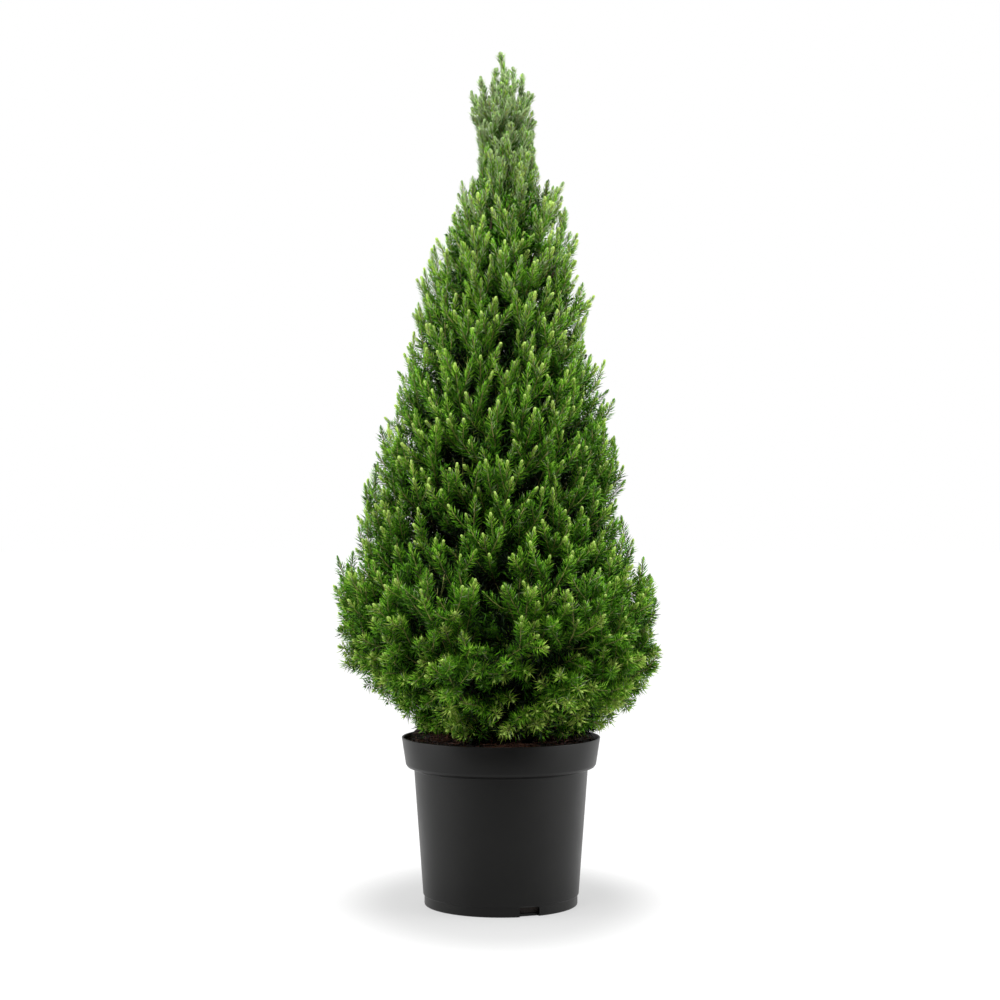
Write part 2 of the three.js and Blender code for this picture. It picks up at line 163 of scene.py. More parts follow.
def finishMaterial(tree, shader, bump=None):
    if bump:
        tree.links.new(bump.outputs["Normal"], shader.inputs["Normal"])
    addNode(tree, "ShaderNodeOutputMaterial", links={"Surface": shader.outputs[0]})


# Needles: a waxy cuticle over the leaf gives a soft, broad highlight, and no two shoots are the
# same green. Patches of about a shoot's size vary the plain colour a little.
def needleMaterial(name, hexCode):
    material, tree = newMaterial(name)
    where = addNode(tree, "ShaderNodeTexCoord")
    patches = addNode(tree, "ShaderNodeTexNoise", {"Scale": perMetre(22), "Detail": 2.0},
                      {"Vector": where.outputs["Object"]})
    value = addNode(tree, "ShaderNodeMapRange",
                    {"From Min": 0.3, "From Max": 0.7, "To Min": 0.8, "To Max": 1.2},
                    {"Value": patches.outputs["Fac"]})
    hue = addNode(tree, "ShaderNodeHueSaturation", {"Color": linear(hexCode)},
                  {"Value": value.outputs["Result"]})
    shader = addNode(tree, "ShaderNodeBsdfPrincipled",
                     {"Roughness": 0.55, "IOR": 1.38, "Specular IOR Level": 0.24},
                     {"Base Color": hue.outputs["Color"]})
    finishMaterial(tree, shader)
    return material


# Bark of spruce: thin grey-brown scales over reddish new bark, a few millimetres across.
def barkMaterial():
    material, tree = newMaterial("spruce_bark")
    where = addNode(tree, "ShaderNodeTexCoord")
    stretch = addNode(tree, "ShaderNodeMapping", {"Scale": (1.0, 1.0, 0.35)},
                      {"Vector": where.outputs["Object"]})
    scales = addNode(tree, "ShaderNodeTexVoronoi", {"Scale": perMetre(4)},
                     {"Vector": stretch.outputs["Vector"]})
    grain = addNode(tree, "ShaderNodeTexNoise",
                    {"Scale": perMetre(2.5), "Detail": 5.0, "Roughness": 0.65},
                    {"Vector": stretch.outputs["Vector"]})
    mixed = addNode(tree, "ShaderNodeMath", {"operation": "MULTIPLY"},
                    {0: scales.outputs["Distance"], 1: grain.outputs["Fac"]})
    colour = rampNode(tree, mixed.outputs[0],
                      [(0.02, "#2A1D14"), (0.16, "#5B4431"), (0.3, "#7A6450"), (0.5, "#94806A")])
    bump = addNode(tree, "ShaderNodeBump", {"Strength": 0.5, "Distance": 0.0006},
                   {"Height": mixed.outputs[0]})
    shader = addNode(tree, "ShaderNodeBsdfPrincipled", {"Roughness": 0.85},
                     {"Base Color": colour.outputs["Color"]})
    finishMaterial(tree, shader, bump)
    return material


# Young shoots' bark: smooth, pale, between tan and green.
def stemMaterial(name, darkHex, lightHex):
    material, tree = newMaterial(name)
    where = addNode(tree, "ShaderNodeTexCoord")
    patches = addNode(tree, "ShaderNodeTexNoise", {"Scale": perMetre(9), "Detail": 3.0},
                      {"Vector": where.outputs["Object"]})
    colour = rampNode(tree, patches.outputs["Fac"], [(0.35, darkHex), (0.65, lightHex)])
    shader = addNode(tree, "ShaderNodeBsdfPrincipled", {"Roughness": 0.6},
                     {"Base Color": colour.outputs["Color"]})
    finishMaterial(tree, shader)
    return material


# Moulded polypropylene, coloured through with carbon black: satin, with a very fine orange-peel
# from the mould and a trace of dust that greys it.
def potMaterial():
    material, tree = newMaterial("moulded_polypropylene")
    where = addNode(tree, "ShaderNodeTexCoord")
    peel = addNode(tree, "ShaderNodeTexNoise", {"Scale": perMetre(1.6), "Detail": 2.0},
                   {"Vector": where.outputs["Object"]})
    smear = addNode(tree, "ShaderNodeTexNoise",
                    {"Scale": perMetre(50), "Detail": 5.0, "Roughness": 0.6},
                    {"Vector": where.outputs["Object"]})
    colour = rampNode(tree, smear.outputs["Fac"], [(0.35, "#080807"), (0.7, "#0F0F0E")])
    gloss = addNode(tree, "ShaderNodeMapRange",
                    {"From Min": 0.3, "From Max": 0.7, "To Min": 0.35, "To Max": 0.43},
                    {"Value": smear.outputs["Fac"]})
    bump = addNode(tree, "ShaderNodeBump", {"Strength": 0.12, "Distance": 0.0001},
                   {"Height": peel.outputs["Fac"]})
    shader = addNode(tree, "ShaderNodeBsdfPrincipled", {"IOR": 1.49, "Specular IOR Level": 0.23},
                     {"Base Color": colour.outputs["Color"], "Roughness": gloss.outputs["Result"]})
    finishMaterial(tree, shader, bump)
    return material


# Peat compost: nearly black when moist, with rust-brown fibre through it.
def peatMaterial(name, darkHex, midHex, lightHex):
    material, tree = newMaterial(name)
    where = addNode(tree, "ShaderNodeTexCoord")
    grains = addNode(tree, "ShaderNodeTexNoise",
                     {"Scale": perMetre(3.5), "Detail": 6.0, "Roughness": 0.7},
                     {"Vector": where.outputs["Object"]})
    colour = rampNode(tree, grains.outputs["Fac"],
                      [(0.35, darkHex), (0.55, midHex), (0.75, lightHex)])
    bump = addNode(tree, "ShaderNodeBump", {"Strength": 0.8, "Distance": 0.0012},
                   {"Height": grains.outputs["Fac"]})
    shader = addNode(tree, "ShaderNodeBsdfPrincipled", {"Roughness": 0.9},
                     {"Base Color": colour.outputs["Color"]})
    finishMaterial(tree, shader, bump)
    return material


# The pot: one moulded wall, spun round its axis, with notches cut through its foot.
pot = {
    "height": 202, "rimRadius": 120, "rimFootRadius": 115, "rimHeight": 34.5, "rimEdge": 2,
    "rimUndercut": 1, "shoulderHeight": 4.5, "bodyRadius": 105, "baseRadius": 94,
    "footHeight": 13, "footInset": 1.5, "wall": 2, "floor": 3,
    "recessRadius": 70, "recess": 0.8, "recessSlope": 2, "steps": 160, "sharpFrom": 35,
    "rounds": {"recess": 0.3, "foot": 1.6, "footStep": 0.4, "base": 0.5, "shoulder": 0.9,
               "rimStep": 0.5, "rimFoot": 0.7, "lip": 0.9, "inner": 0.6, "innerShoulder": 2.0,
               "floor": 3.0},
}
drain = {"count": 3, "firstAngle": -68.5, "width": 25, "height": 11, "depth": 16, "round": 2.0}


def potProfile():  # (radius, height, how far its edge is rounded)
    rimFoot = pot["height"] - pot["rimHeight"]
    shoulder = rimFoot - pot["shoulderHeight"]
    rimStep = pot["rimFootRadius"] - pot["rimEdge"]
    foot = pot["baseRadius"] - pot["footInset"]
    wall, top, rounds = pot["wall"], pot["height"], pot["rounds"]
    return [
        (pot["recessRadius"], pot["recess"], rounds["recess"]),
        (pot["recessRadius"] + pot["recessSlope"], 0, rounds["recess"]),
        (foot, 0, rounds["foot"]),
        (foot, pot["footHeight"] - pot["footInset"], rounds["footStep"]),
        (pot["baseRadius"], pot["footHeight"], rounds["base"]),
        (pot["bodyRadius"], shoulder, rounds["shoulder"]),
        (rimStep, rimFoot - pot["rimUndercut"], rounds["rimStep"]),
        (pot["rimFootRadius"], rimFoot + pot["rimEdge"], rounds["rimFoot"]),
        (pot["rimRadius"], top, rounds["lip"]),
        (pot["rimRadius"] - wall, top, rounds["lip"]),
        (pot["rimFootRadius"] - wall, rimFoot + pot["rimEdge"] + pot["rimUndercut"], rounds["inner"]),
        (rimStep - wall, rimFoot + wall, rounds["inner"]),
        (pot["bodyRadius"] - wall, shoulder + wall, rounds["innerShoulder"]),
        (foot - wall, pot["floor"], rounds["floor"]),
    ]


def spinProfile(points, steps):  # the first and last points stand on the axis and close it
    bm = bmesh.new()
    verts = [bm.verts.new((r, 0, z)) for r, z in points]
    edges = [bm.edges.new(pair) for pair in zip(verts, verts[1:])]
    bmesh.ops.spin(bm, geom=verts + edges, cent=(0, 0, 0), axis=(0, 0, 1), dvec=(0, 0, 0),
                   angle=2 * math.pi, steps=steps, use_merge=True)
    bmesh.ops.remove_doubles(bm, verts=bm.verts, dist=1e-3)
    return bm


def ringEdges(bm, radius, height, near=0.02):
    def onRing(v):
        return abs(math.hypot(v.co.x, v.co.y) - radius) < near and abs(v.co.z - height) < near
    return [e for e in bm.edges if onRing(e.verts[0]) and onRing(e.verts[1])]


def makePot():
    profile = potProfile()
    middle = [(0, pot["recess"])] + [(r, z) for r, z, _ in profile] + [(0, pot["floor"])]
    bm = spinProfile(middle, pot["steps"])
    for radius, height, rounded in profile:
        bmesh.ops.bevel(bm, geom=ringEdges(bm, radius, height), offset=rounded,
                        offset_type="OFFSET", affect="EDGES", segments=4, profile=0.5, material=-1)
    mesh = meshFromBmesh(bm, "pot_wall")
    piece = linkMesh(mesh, "pot_wall", potMaterial(), ["pot"])
    for k in range(drain["count"]):
        angle = math.radians(drain["firstAngle"]) + k * 2 * math.pi / drain["count"]
        cutDrain(piece, angle)
    piece.data.set_sharp_from_angle(angle=math.radians(pot["sharpFrom"]))


def cutDrain(piece, angle):  # a notch with rounded upper corners through the foot
    bm = bmesh.new()
    bmesh.ops.create_cube(bm, size=1)
    bmesh.ops.scale(bm, vec=(drain["depth"], drain["width"], 2 * drain["height"]), verts=bm.verts)
    upright = [e for e in bm.edges if all(v.co.z > 0 for v in e.verts) and
               abs(e.verts[0].co.y - e.verts[1].co.y) < 0.1]
    bmesh.ops.bevel(bm, geom=upright, offset=drain["round"], offset_type="OFFSET", affect="EDGES",
                    segments=3, profile=0.5, material=-1)
    bmesh.ops.translate(bm, vec=(pot["baseRadius"], 0, 0), verts=bm.verts)
    bmesh.ops.rotate(bm, cent=(0, 0, 0), matrix=Matrix.Rotation(angle, 3, "Z"), verts=bm.verts)
    cutter = bpy.data.objects.new("drain_cutter", meshFromBmesh(bm, "drain_cutter", smooth=False))
    bpy.context.scene.collection.objects.link(cutter)
    cut = piece.modifiers.new("drain", "BOOLEAN")
    cut.operation = "DIFFERENCE"
    cut.solver = "EXACT"
    cut.object = cutter
    applyModifiers(piece)
    bpy.data.objects.remove(cutter)


def applyModifiers(piece):
    bpy.context.view_layer.update()
    depsgraph = bpy.context.evaluated_depsgraph_get()
    result = bpy.data.meshes.new_from_object(piece.evaluated_get(depsgraph), depsgraph=depsgraph)
    piece.modifiers.clear()
    piece.data = result


makePot()
print("pot done")


# Peat up to just under the rim, heaped towards the trunk, with litter of its own on it.
peat = {
    "edgeDrop": 5.5, "crownRise": 1, "patchRadius": 26, "steps": 150, "ringStep": 2.2,
    "slope": [(0.78, 0.35), (0.55, 0.75)],  # share of the radius, share of the rise
    "lump": 3.2, "lumpSize": 17, "lumpLayer": 3.0, "lumpsFrom": 14,
    "crumb": 1.0, "crumbSize": 4.0, "crumbLayer": 9.0, "sink": 0.6,
    "heapPlace": (-97, 46), "heapSize": 14, "heapRise": 12,
    "edgeGap": 0.5, "wallGap": 0.7, "floorGap": 0.6, "slotGap": 1, "rimGap": 2.5, "litterGap": 3,
}
crumbs = {
    "count": 2200, "sizes": (0.8, 3.4), "largeCount": 120, "largeSizes": (3.2, 6.5),
    "from": 0.07, "edgeGap": 2, "sunk": 0.15, "squash": (0.6, 1.3), "rough": 0.07,
    "turn": 6.3,  # radians, at most
    "rustyShare": 0.22, "paleShare": 0.035,
}
crumbKinds = {  # piece: material, dark, middle and light colour
    "peat_crumbs": ("peat_crumb", "#0F0A07", "#20150E", "#3B281D"),
    "bark_crumbs": ("composted_bark", "#1D0F09", "#3A2013", "#5E3A24"),
    "grit": ("quartz_grit", "#5A5246", "#8A8070", "#B5AC9C"),
}
fibres = {
    "tangles": [  # angle, spread of the angle, radii, heights over the peat, how many
        (-134, 20, (58, 104), (1, 15), 150), (-84, 14, (90, 110), (0.5, 5), 90),
        (-40, 18, (70, 108), (0.5, 6), 60), (90, 180, (30, 108), (0.3, 4), 160),
    ],
    "length": (9, 34), "radius": 0.32, "thin": 0.6, "tilt": 0.25, "curl": 0.3,
    "edgeGap": 1.5, "over": 0.2, "sides": 3, "steps": 5,
}
fallen = {"count": 420, "length": (7, 12), "radii": (25, 112), "over": (0.5, 1.6), "tilt": (-0.1, 0.25),
          "edgeGap": 1}


def peatEdge():
    rimFoot = pot["height"] - pot["rimHeight"]
    top = pot["height"] - peat["edgeDrop"]
    lean = (pot["rimRadius"] - pot["rimFootRadius"]) / (pot["rimHeight"] - pot["rimEdge"])
    return (pot["rimFootRadius"] - pot["wall"] - peat["edgeGap"]
            + lean * (top - rimFoot - pot["rimEdge"]))


def peatHeight(x, y):  # the level of the peat's surface, lumps and all
    top = pot["height"] - peat["edgeDrop"]
    patch = pot["height"] + peat["crownRise"]
    edge = peatEdge()
    radii = [peat["patchRadius"]] + [edge * s for s, _ in peat["slope"][::-1]] + [edge]
    levels = [patch] + [top + rise * (patch - top) for _, rise in peat["slope"][::-1]] + [top]
    r = math.hypot(x, y)
    level = float(np.interp(r, radii, levels))
    outside = min(1.0, max(0.0, (r - peat["patchRadius"]) / peat["lumpsFrom"]))
    lumps = noise.noise(Vector((x, y, peat["lumpLayer"])) / peat["lumpSize"]) * peat["lump"]
    small = noise.noise(Vector((x, y, peat["crumbLayer"])) / peat["crumbSize"]) * peat["crumb"]
    away = math.hypot(x - peat["heapPlace"][0], y - peat["heapPlace"][1]) / peat["heapSize"]
    heap = peat["heapRise"] * math.exp(-away * away)
    return level + outside * lumps + small - peat["sink"] + heap


def makePeat():
    edge = peatEdge()
    rings = int(edge / peat["ringStep"])
    rimFoot = pot["height"] - pot["rimHeight"]
    shoulder = rimFoot - pot["shoulderHeight"]
    inside = pot["wall"] + peat["wallGap"]
    bottom = pot["floor"] + peat["floorGap"]
    slotTop = drain["height"] + peat["slotGap"]
    slotClear = pot["baseRadius"] - drain["depth"] / 2 - peat["edgeGap"]
    aboveAll = 1000.0  # marks the surface, whose points then take the peat's level
    surface = [(edge * k / rings, aboveAll) for k in range(rings + 1)]
    wall = [(pot["rimFootRadius"] - inside, rimFoot + 2 * pot["rimEdge"]),
            (pot["rimFootRadius"] - pot["rimEdge"] - inside, rimFoot + peat["rimGap"]),
            (pot["bodyRadius"] - inside, shoulder + pot["wall"]),
            (pot["baseRadius"] - pot["footInset"] - inside, slotTop),
            (slotClear, slotTop), (slotClear, bottom), (0, bottom)]
    bm = spinProfile(surface + wall, peat["steps"])
    for v in bm.verts:
        if v.co.z > aboveAll / 2:
            v.co.z = peatHeight(v.co.x, v.co.y)
    compost = peatMaterial("peat_compost", "#0D0906", "#1B120C", "#35231A")
    linkMesh(meshFromBmesh(bm, "peat_bed"), "peat_bed", compost, ["soil"])


def makeCrumbs():
    rng = np.random.default_rng(21)
    edge = peatEdge() - crumbs["edgeGap"]
    piles = {name: bmesh.new() for name in crumbKinds}
    for k in range(crumbs["count"] + crumbs["largeCount"]):
        radius = edge * math.sqrt(rng.uniform(crumbs["from"], 1))
        angle = rng.uniform(0, 2 * math.pi)
        large = k < crumbs["largeCount"]
        low, high = crumbs["largeSizes"] if large else crumbs["sizes"]
        size = low + (high - low) * rng.uniform(0, 1) ** 2
        level = peatHeight(radius * math.cos(angle), radius * math.sin(angle)) + crumbs["sunk"] * size
        radius = min(radius, edge - size)
        place = Vector((radius * math.cos(angle), radius * math.sin(angle), level))
        kind = "bark_crumbs" if rng.uniform() < crumbs["rustyShare"] else "peat_crumbs"
        if not large and rng.uniform() < crumbs["paleShare"]:
            kind = "grit"
        turn = Matrix.Rotation(rng.uniform(0, crumbs["turn"]), 4, Vector(rng.normal(size=3)))
        squash = Matrix.Diagonal((*(size * 0.5 * rng.uniform(*crumbs["squash"], 3)), 1.0))
        made = bmesh.ops.create_icosphere(piles[kind], subdivisions=1, radius=1,
                                          matrix=Matrix.Translation(place) @ turn @ squash)
        for v in made["verts"]:
            v.co += Vector(rng.normal(size=3)) * crumbs["rough"] * size
    for name, look in crumbKinds.items():
        linkMesh(meshFromBmesh(piles[name], name, False), name, peatMaterial(*look))


def onPeat(rng, count, middleAngle, spread, radii, rises):  # places over the peat's surface
    angles = np.radians(middleAngle + spread * rng.uniform(-1, 1, count))
    reach = np.minimum(rng.uniform(*radii, count), peatEdge() - peat["litterGap"])
    places = radial(angles) * reach[:, None]
    places[:, 2] = [peatHeight(x, y) for x, y, _ in places] + rng.uniform(*rises, count)
    return places


def flatDirections(rng, count, tilt):  # lying at any turn, lifted a little
    turn = rng.uniform(0, 2 * np.pi, count)
    return np.stack([np.cos(turn), np.sin(turn), rng.uniform(*tilt, count)], axis=1)


def makeFibres():
    rng = np.random.default_rng(33)
    middles = np.concatenate([onPeat(rng, count, *where) for *where, count in fibres["tangles"]])
    count = len(middles)
    half = flatDirections(rng, count, (-fibres["tilt"], fibres["tilt"]))
    half = half * (rng.uniform(*fibres["length"], count) / 2)[:, None]
    curl = rng.normal(0, fibres["curl"], (count, 3)) * np.linalg.norm(half, axis=1)[:, None]
    start, end = middles - half, middles + half
    for points in (start, end):
        far = np.hypot(points[:, 0], points[:, 1])
        points[:, :2] *= np.minimum(1, (peatEdge() - fibres["edgeGap"]) / far)[:, None]
        low = [peatHeight(x, y) + fibres["over"] for x, y, _ in points]
        points[:, 2] = np.maximum(points[:, 2], low)
    verts, faces = tubes(start, middles + np.abs(curl) * [1, 1, 0.5], end, fibres["radius"],
                         fibres["radius"] * fibres["thin"], fibres["sides"], fibres["steps"])
    material = stemMaterial("peat_fibre", "#261109", "#5E321A")
    linkMesh(meshFromArrays("peat_fibres", verts, faces), "peat_fibres", material)


def makeFallenNeedles():
    rng = np.random.default_rng(34)
    base = onPeat(rng, fallen["count"], 0, 180, fallen["radii"], fallen["over"])
    direction = unit(flatDirections(rng, len(base), fallen["tilt"]))
    size = rng.uniform(*fallen["length"], len(base))
    inside = np.hypot(*(base + direction * size[:, None])[:, :2].T) < peatEdge() - fallen["edgeGap"]
    up = np.tile([0.0, 0.0, 1.0], (len(base), 1))
    mesh = needleMesh("fallen_needles", base[inside], direction[inside], up[inside], size[inside], 1.0)
    linkMesh(mesh, "fallen_needles", needleMaterial("needles_dead", "#5E4022"))


# The crown's outline as (height, radius), and the rule by which the solids grow inside it.
crown = {
    "stations": [(207, 106), (252, 162), (305, 194), (388, 196), (440, 164), (540, 147), (640, 123),
                 (735, 103), (855, 68), (890, 38), (978, 39), (1008, 17), (1031, 1)],
    "neck": 890,
    "uprightLow": 0.25, "uprightGain": 1.25, "uprightSpire": 1.4, "spireFrom": (0.7, 0.88),
    "coreBottom": 211, "coreTop": 1000, "lowDepth": 48, "highDepth": 22, "hollow": 0.36,
    "trunkGap": 3,
}
trunk = {
    "foot": 203.35, "top": 952, "footRadius": 10.5, "tipRadius": 2.2, "taper": 0.85,
    "flare": 5, "flareHeight": 7.5, "sway": 2.5, "swayBack": -0.6,
    "sides": 28, "rings": 230, "relief": 0.75,
}
tiers = [  # name, height, count, reach, turn, bough angle, stem angle
    ("skirt", 256, 6, 0.58, 0, 12, None),
    ("belly", 364, 6, 0.58, 30, 32, None),
    ("waist", 470, 5, 0.56, 12, 38, None),
    ("middle", 574, 4, 0.54, 40, 43, None),
    ("upper", 674, 3, 0.52, 5, 48, None),
    ("shoulder", 784, 3, 0.46, 65, None, 50),
    ("spire", 905, 3, 0.38, 20, None, 60),
    ("leader", 992, 1, 0, 0, None, None),
]
scatter = {"angle": 0.3, "height": 14}
bough = {
    "footRadius": 3.6, "tipRadius": 2.1, "lowest": 8, "curl": 0.08, "gap": 0.35, "thinnest": 0.55,
    "stemFall": 0.8, "leaderRise": 20, "footInBark": 3, "collar": 0.9, "collarEnd": 14,
    "sides": 12, "rings": 26, "relief": 0.35,
}


def outlinePoints(count=240):  # the smooth curve through the stations
    stations = np.array(crown["stations"], float)[:, ::-1]
    padded = np.vstack([stations[:1], stations, stations[-1:]])
    at = np.linspace(0, len(stations) - 1, count + 1)
    i = np.minimum(at.astype(int), len(stations) - 2)
    t = (at - i)[:, None]
    p0, p1, p2, p3 = (padded[i + k] for k in range(4))
    v0, v1 = (p2 - p0) / 2, (p3 - p1) / 2
    return ((2 * p1 - 2 * p2 + v0 + v1) * t ** 3 + (-3 * p1 + 3 * p2 - 2 * v0 - v1) * t ** 2
            + v0 * t + p1)


outline = outlinePoints()
outline[:, 0] = np.maximum(outline[:, 0], 0.5)


def crownRadius(height):
    return np.interp(height, outline[:, 1], outline[:, 0])


def radial(angle):
    return np.stack([np.cos(angle), np.sin(angle), np.zeros_like(angle)], axis=-1)


def crownNormal(height, angle):
    at = np.clip(np.searchsorted(outline[:, 1], height), 1, len(outline) - 1)
    rise = outline[at, 1] - outline[at - 1, 1]
    spread = outline[at, 0] - outline[at - 1, 0]
    normal = radial(angle) * rise[..., None]
    normal[..., 2] -= spread
    return unit(normal)


def shootDirection(height, angle):
    lowest, highest = crown["stations"][0][0], crown["stations"][-1][0]
    rise = np.clip((height - lowest) / (highest - lowest), 0, 1)
    lift = crown["uprightLow"] + crown["uprightGain"] * np.sqrt(rise)
    lift = lift + crown["uprightSpire"] * smoothstep(*crown["spireFrom"], rise)
    direction = crownNormal(height, angle)
    direction[..., 2] += lift
    return unit(direction)


def shootTips(count, lowest, highest, first=0):  # (heights, angles) even over the outline
    rings = outline[(outline[:, 1] >= lowest) & (outline[:, 1] <= highest)]
    slant = np.hypot(*np.diff(rings, axis=0).T)
    areas = np.concatenate([[0], np.cumsum(slant * (rings[1:, 0] + rings[:-1, 0]))])
    wanted = (np.arange(count) + 0.5) / count * areas[-1]
    return np.interp(wanted, areas, rings[:, 1]), (np.arange(count) + first) * goldenAngle


def coreRadius(height):
    share = (height - crown["coreBottom"]) / (crown["coreTop"] - crown["coreBottom"])
    depth = crown["lowDepth"] + (crown["highDepth"] - crown["lowDepth"]) * share
    return max(crownRadius(height) - depth, 3)


def trunkShare(height):
    return np.clip((height - trunk["foot"]) / (trunk["top"] - trunk["foot"]), 0, 1)


def trunkPoint(share):
    bend = trunk["sway"] * np.sin(2 * np.pi * np.asarray(share, float))
    height = trunk["foot"] + (trunk["top"] - trunk["foot"]) * np.asarray(share, float)
    return np.stack([bend, trunk["swayBack"] * bend, height], axis=-1)


def trunkRadius(share):
    height = share * (trunk["top"] - trunk["foot"])
    narrowing = (trunk["tipRadius"] - trunk["footRadius"]) * share ** trunk["taper"]
    return trunk["footRadius"] + narrowing + trunk["flare"] * np.exp(-height / trunk["flareHeight"])


def hollowRadius(height):  # where a bough ends and its mass begins
    clear = trunkRadius(trunkShare(height)) + crown["trunkGap"]
    return max(crown["hollow"] * coreRadius(height), clear)


def makeMasses():  # where each mass of foliage stands, and the limb that carries it
    masses = []
    for t, (_, height, count, reach, turn, boughAngle, stemAngle) in enumerate(tiers):
        for k in range(count):
            draw = seeded(100 * t + k + 1)
            angle = math.radians(turn) + (k + scatter["angle"] * (draw() - 0.5)) * 2 * math.pi / count
            own = height + (scatter["height"] * (draw() - 0.5) if count > 1 else 0)
            out = float(crownRadius(own)) * reach
            middle = radial(np.array(angle)) * out + np.array([0, 0, own])
            masses.append({"angle": angle, "reach": out, "middle": middle,
                           "boughAngle": boughAngle, "stemAngle": stemAngle})
    for mass in masses:
        thinner = (1 - bough["thinnest"]) * mass["reach"] / masses[0]["reach"]
        mass["thickness"] = bough["thinnest"] + thinner
        mass["limb"] = limbPoints(mass)
    return masses


def limbPoints(mass):  # the three points of the limb's curve, from the bark
    outward = radial(np.array(mass["angle"]))
    if mass["reach"] == 0:
        foot = trunkPoint(1.0)
        return [foot + [0, 0, k * bough["leaderRise"]] for k in range(3)]
    if mass["boughAngle"] is None:
        fall = bough["stemFall"] * mass["reach"] * math.tan(math.radians(mass["stemAngle"]))
        share = trunkShare(mass["middle"][2] - fall)
        foot = trunkPoint(share) + outward * trunkRadius(share) * 0.5
        return [foot, (foot + mass["middle"]) / 2, mass["middle"]]
    slope = math.tan(math.radians(mass["boughAngle"]))
    run = hollowRadius(mass["middle"][2])
    end = outward * run + [0, 0, mass["middle"][2] - slope * (mass["reach"] - run)]
    footHeight = max(end[2] - slope * run, trunk["foot"] + bough["lowest"])
    share = trunkShare(footHeight)
    foot = trunkPoint(share) + outward * (trunkRadius(share) + 2 * bough["gap"])
    foot[2] = footHeight
    half = (foot + end) / 2 - [0, 0, bough["curl"] * np.linalg.norm(end - foot)]
    return [foot, half, end]


def bezier(points, t):  # points: three arrays (..., 3); t: (...)
    t = np.asarray(t)[..., None]
    return (1 - t) ** 2 * points[0] + 2 * t * (1 - t) * points[1] + t ** 2 * points[2]


def bezierPart(points, low, high):  # the control points of a stretch of the curve
    ends = [bezier(points, np.full(len(points[0]), t)) for t in (low, high)]
    middle = ((1 - low) * (1 - high) * points[0] + (low * (1 - high) + high * (1 - low)) * points[1]
              + low * high * points[2])
    return [ends[0], middle, ends[1]]


def bezierTangent(points, t):
    t = np.asarray(t)[..., None]
    return unit(2 * (1 - t) * (points[1] - points[0]) + 2 * t * (points[2] - points[1]))


def acrossOf(direction):  # two unit vectors square to a direction
    helper = np.where(np.abs(direction[..., 2:3]) < 0.8, [0.0, 0.0, 1.0], [1.0, 0.0, 0.0])
    first = unit(np.cross(direction, helper))
    return first, np.cross(direction, first)


masses = makeMasses()


# Scales and fissures of the bark: how often they come round and along a limb, and how deep.
barkRelief = {
    "scales": (0.35, 0.09), "scaleDepth": 0.9,
    "ridges": (0.6, 0.16), "ridgeDepth": 1.2, "ridgeLevel": 0.25, "ridgeLayer": (7, 3, 1),
    "fullAt": 6, "least": 0.35,  # thin limbs are smoother
}


def barkNoise(p, often):
    across, along = often
    return Vector((p.x * across, p.y * across, p.z * along))


# A cone is cut into rings, laid along the limb, and given its bark.
def barkLimb(target, pointAt, radiusAt, sides, rings, relief):
    bm = bmesh.new()
    bmesh.ops.create_cone(bm, cap_ends=True, segments=sides, radius1=1, radius2=1, depth=2)
    lengthwise = [e for e in bm.edges if abs(e.verts[0].co.z - e.verts[1].co.z) > 1]
    bmesh.ops.subdivide_edges(bm, edges=lengthwise, cuts=rings)
    verts = list(bm.verts)
    flat = np.array([v.co[:] for v in verts])
    share = (flat[:, 2] + 1) / 2
    centre = pointAt(share)
    along = unit(pointAt(np.minimum(share + 0.01, 1)) - pointAt(np.maximum(share - 0.01, 0)))
    first, second = acrossOf(along)
    outward = first * flat[:, 0:1] + second * flat[:, 1:2]
    radius = radiusAt(share)
    for i, v in enumerate(verts):
        p = Vector(centre[i] + outward[i] * radius[i])
        scaly = noise.noise(barkNoise(p, barkRelief["scales"]))
        layer = Vector(barkRelief["ridgeLayer"])
        ridged = abs(noise.noise(barkNoise(p, barkRelief["ridges"]) + layer))
        swell = barkRelief["scaleDepth"] * scaly
        swell = swell + barkRelief["ridgeDepth"] * (ridged - barkRelief["ridgeLevel"])
        swell = relief * swell * min(1.0, radius[i] / barkRelief["fullAt"] + barkRelief["least"])
        v.co = Vector(centre[i] + outward[i] * (radius[i] + swell))
    limb = bpy.data.meshes.new("limb")
    bm.to_mesh(limb)
    bm.free()
    target.from_mesh(limb)
    bpy.data.meshes.remove(limb)


def makeBark():
    bark = barkMaterial()
    bm = bmesh.new()
    barkLimb(bm, trunkPoint, trunkRadius, trunk["sides"], trunk["rings"], trunk["relief"])
    for v in bm.verts:
        v.co.z = max(v.co.z, trunk["foot"])
    linkMesh(meshFromBmesh(bm, "trunk_bark"), "trunk_bark", bark, ["trunk"])
    bm = bmesh.new()
    for mass in masses:
        if mass["boughAngle"] is None:
            continue
        points = mass["limb"]
        # The foot reaches back into the trunk's bark, as a living bough's does.
        inward = unit(points[0] - points[1])
        limb = [points[0] + inward * bough["footInBark"], points[1], points[2]]

        def radiusAt(share, thick=mass["thickness"]):
            collar = bough["collar"] * np.exp(-share * bough["collarEnd"])
            narrowing = (bough["tipRadius"] - bough["footRadius"]) * share
            return (bough["footRadius"] + narrowing + collar) * thick
        barkLimb(bm, lambda share, limb=limb: bezier(limb, share), radiusAt, bough["sides"],
                 bough["rings"], bough["relief"])
    linkMesh(meshFromBmesh(bm, "bough_bark"), "bough_bark", bark, boughNodes)


makeBark()
print("bark done")


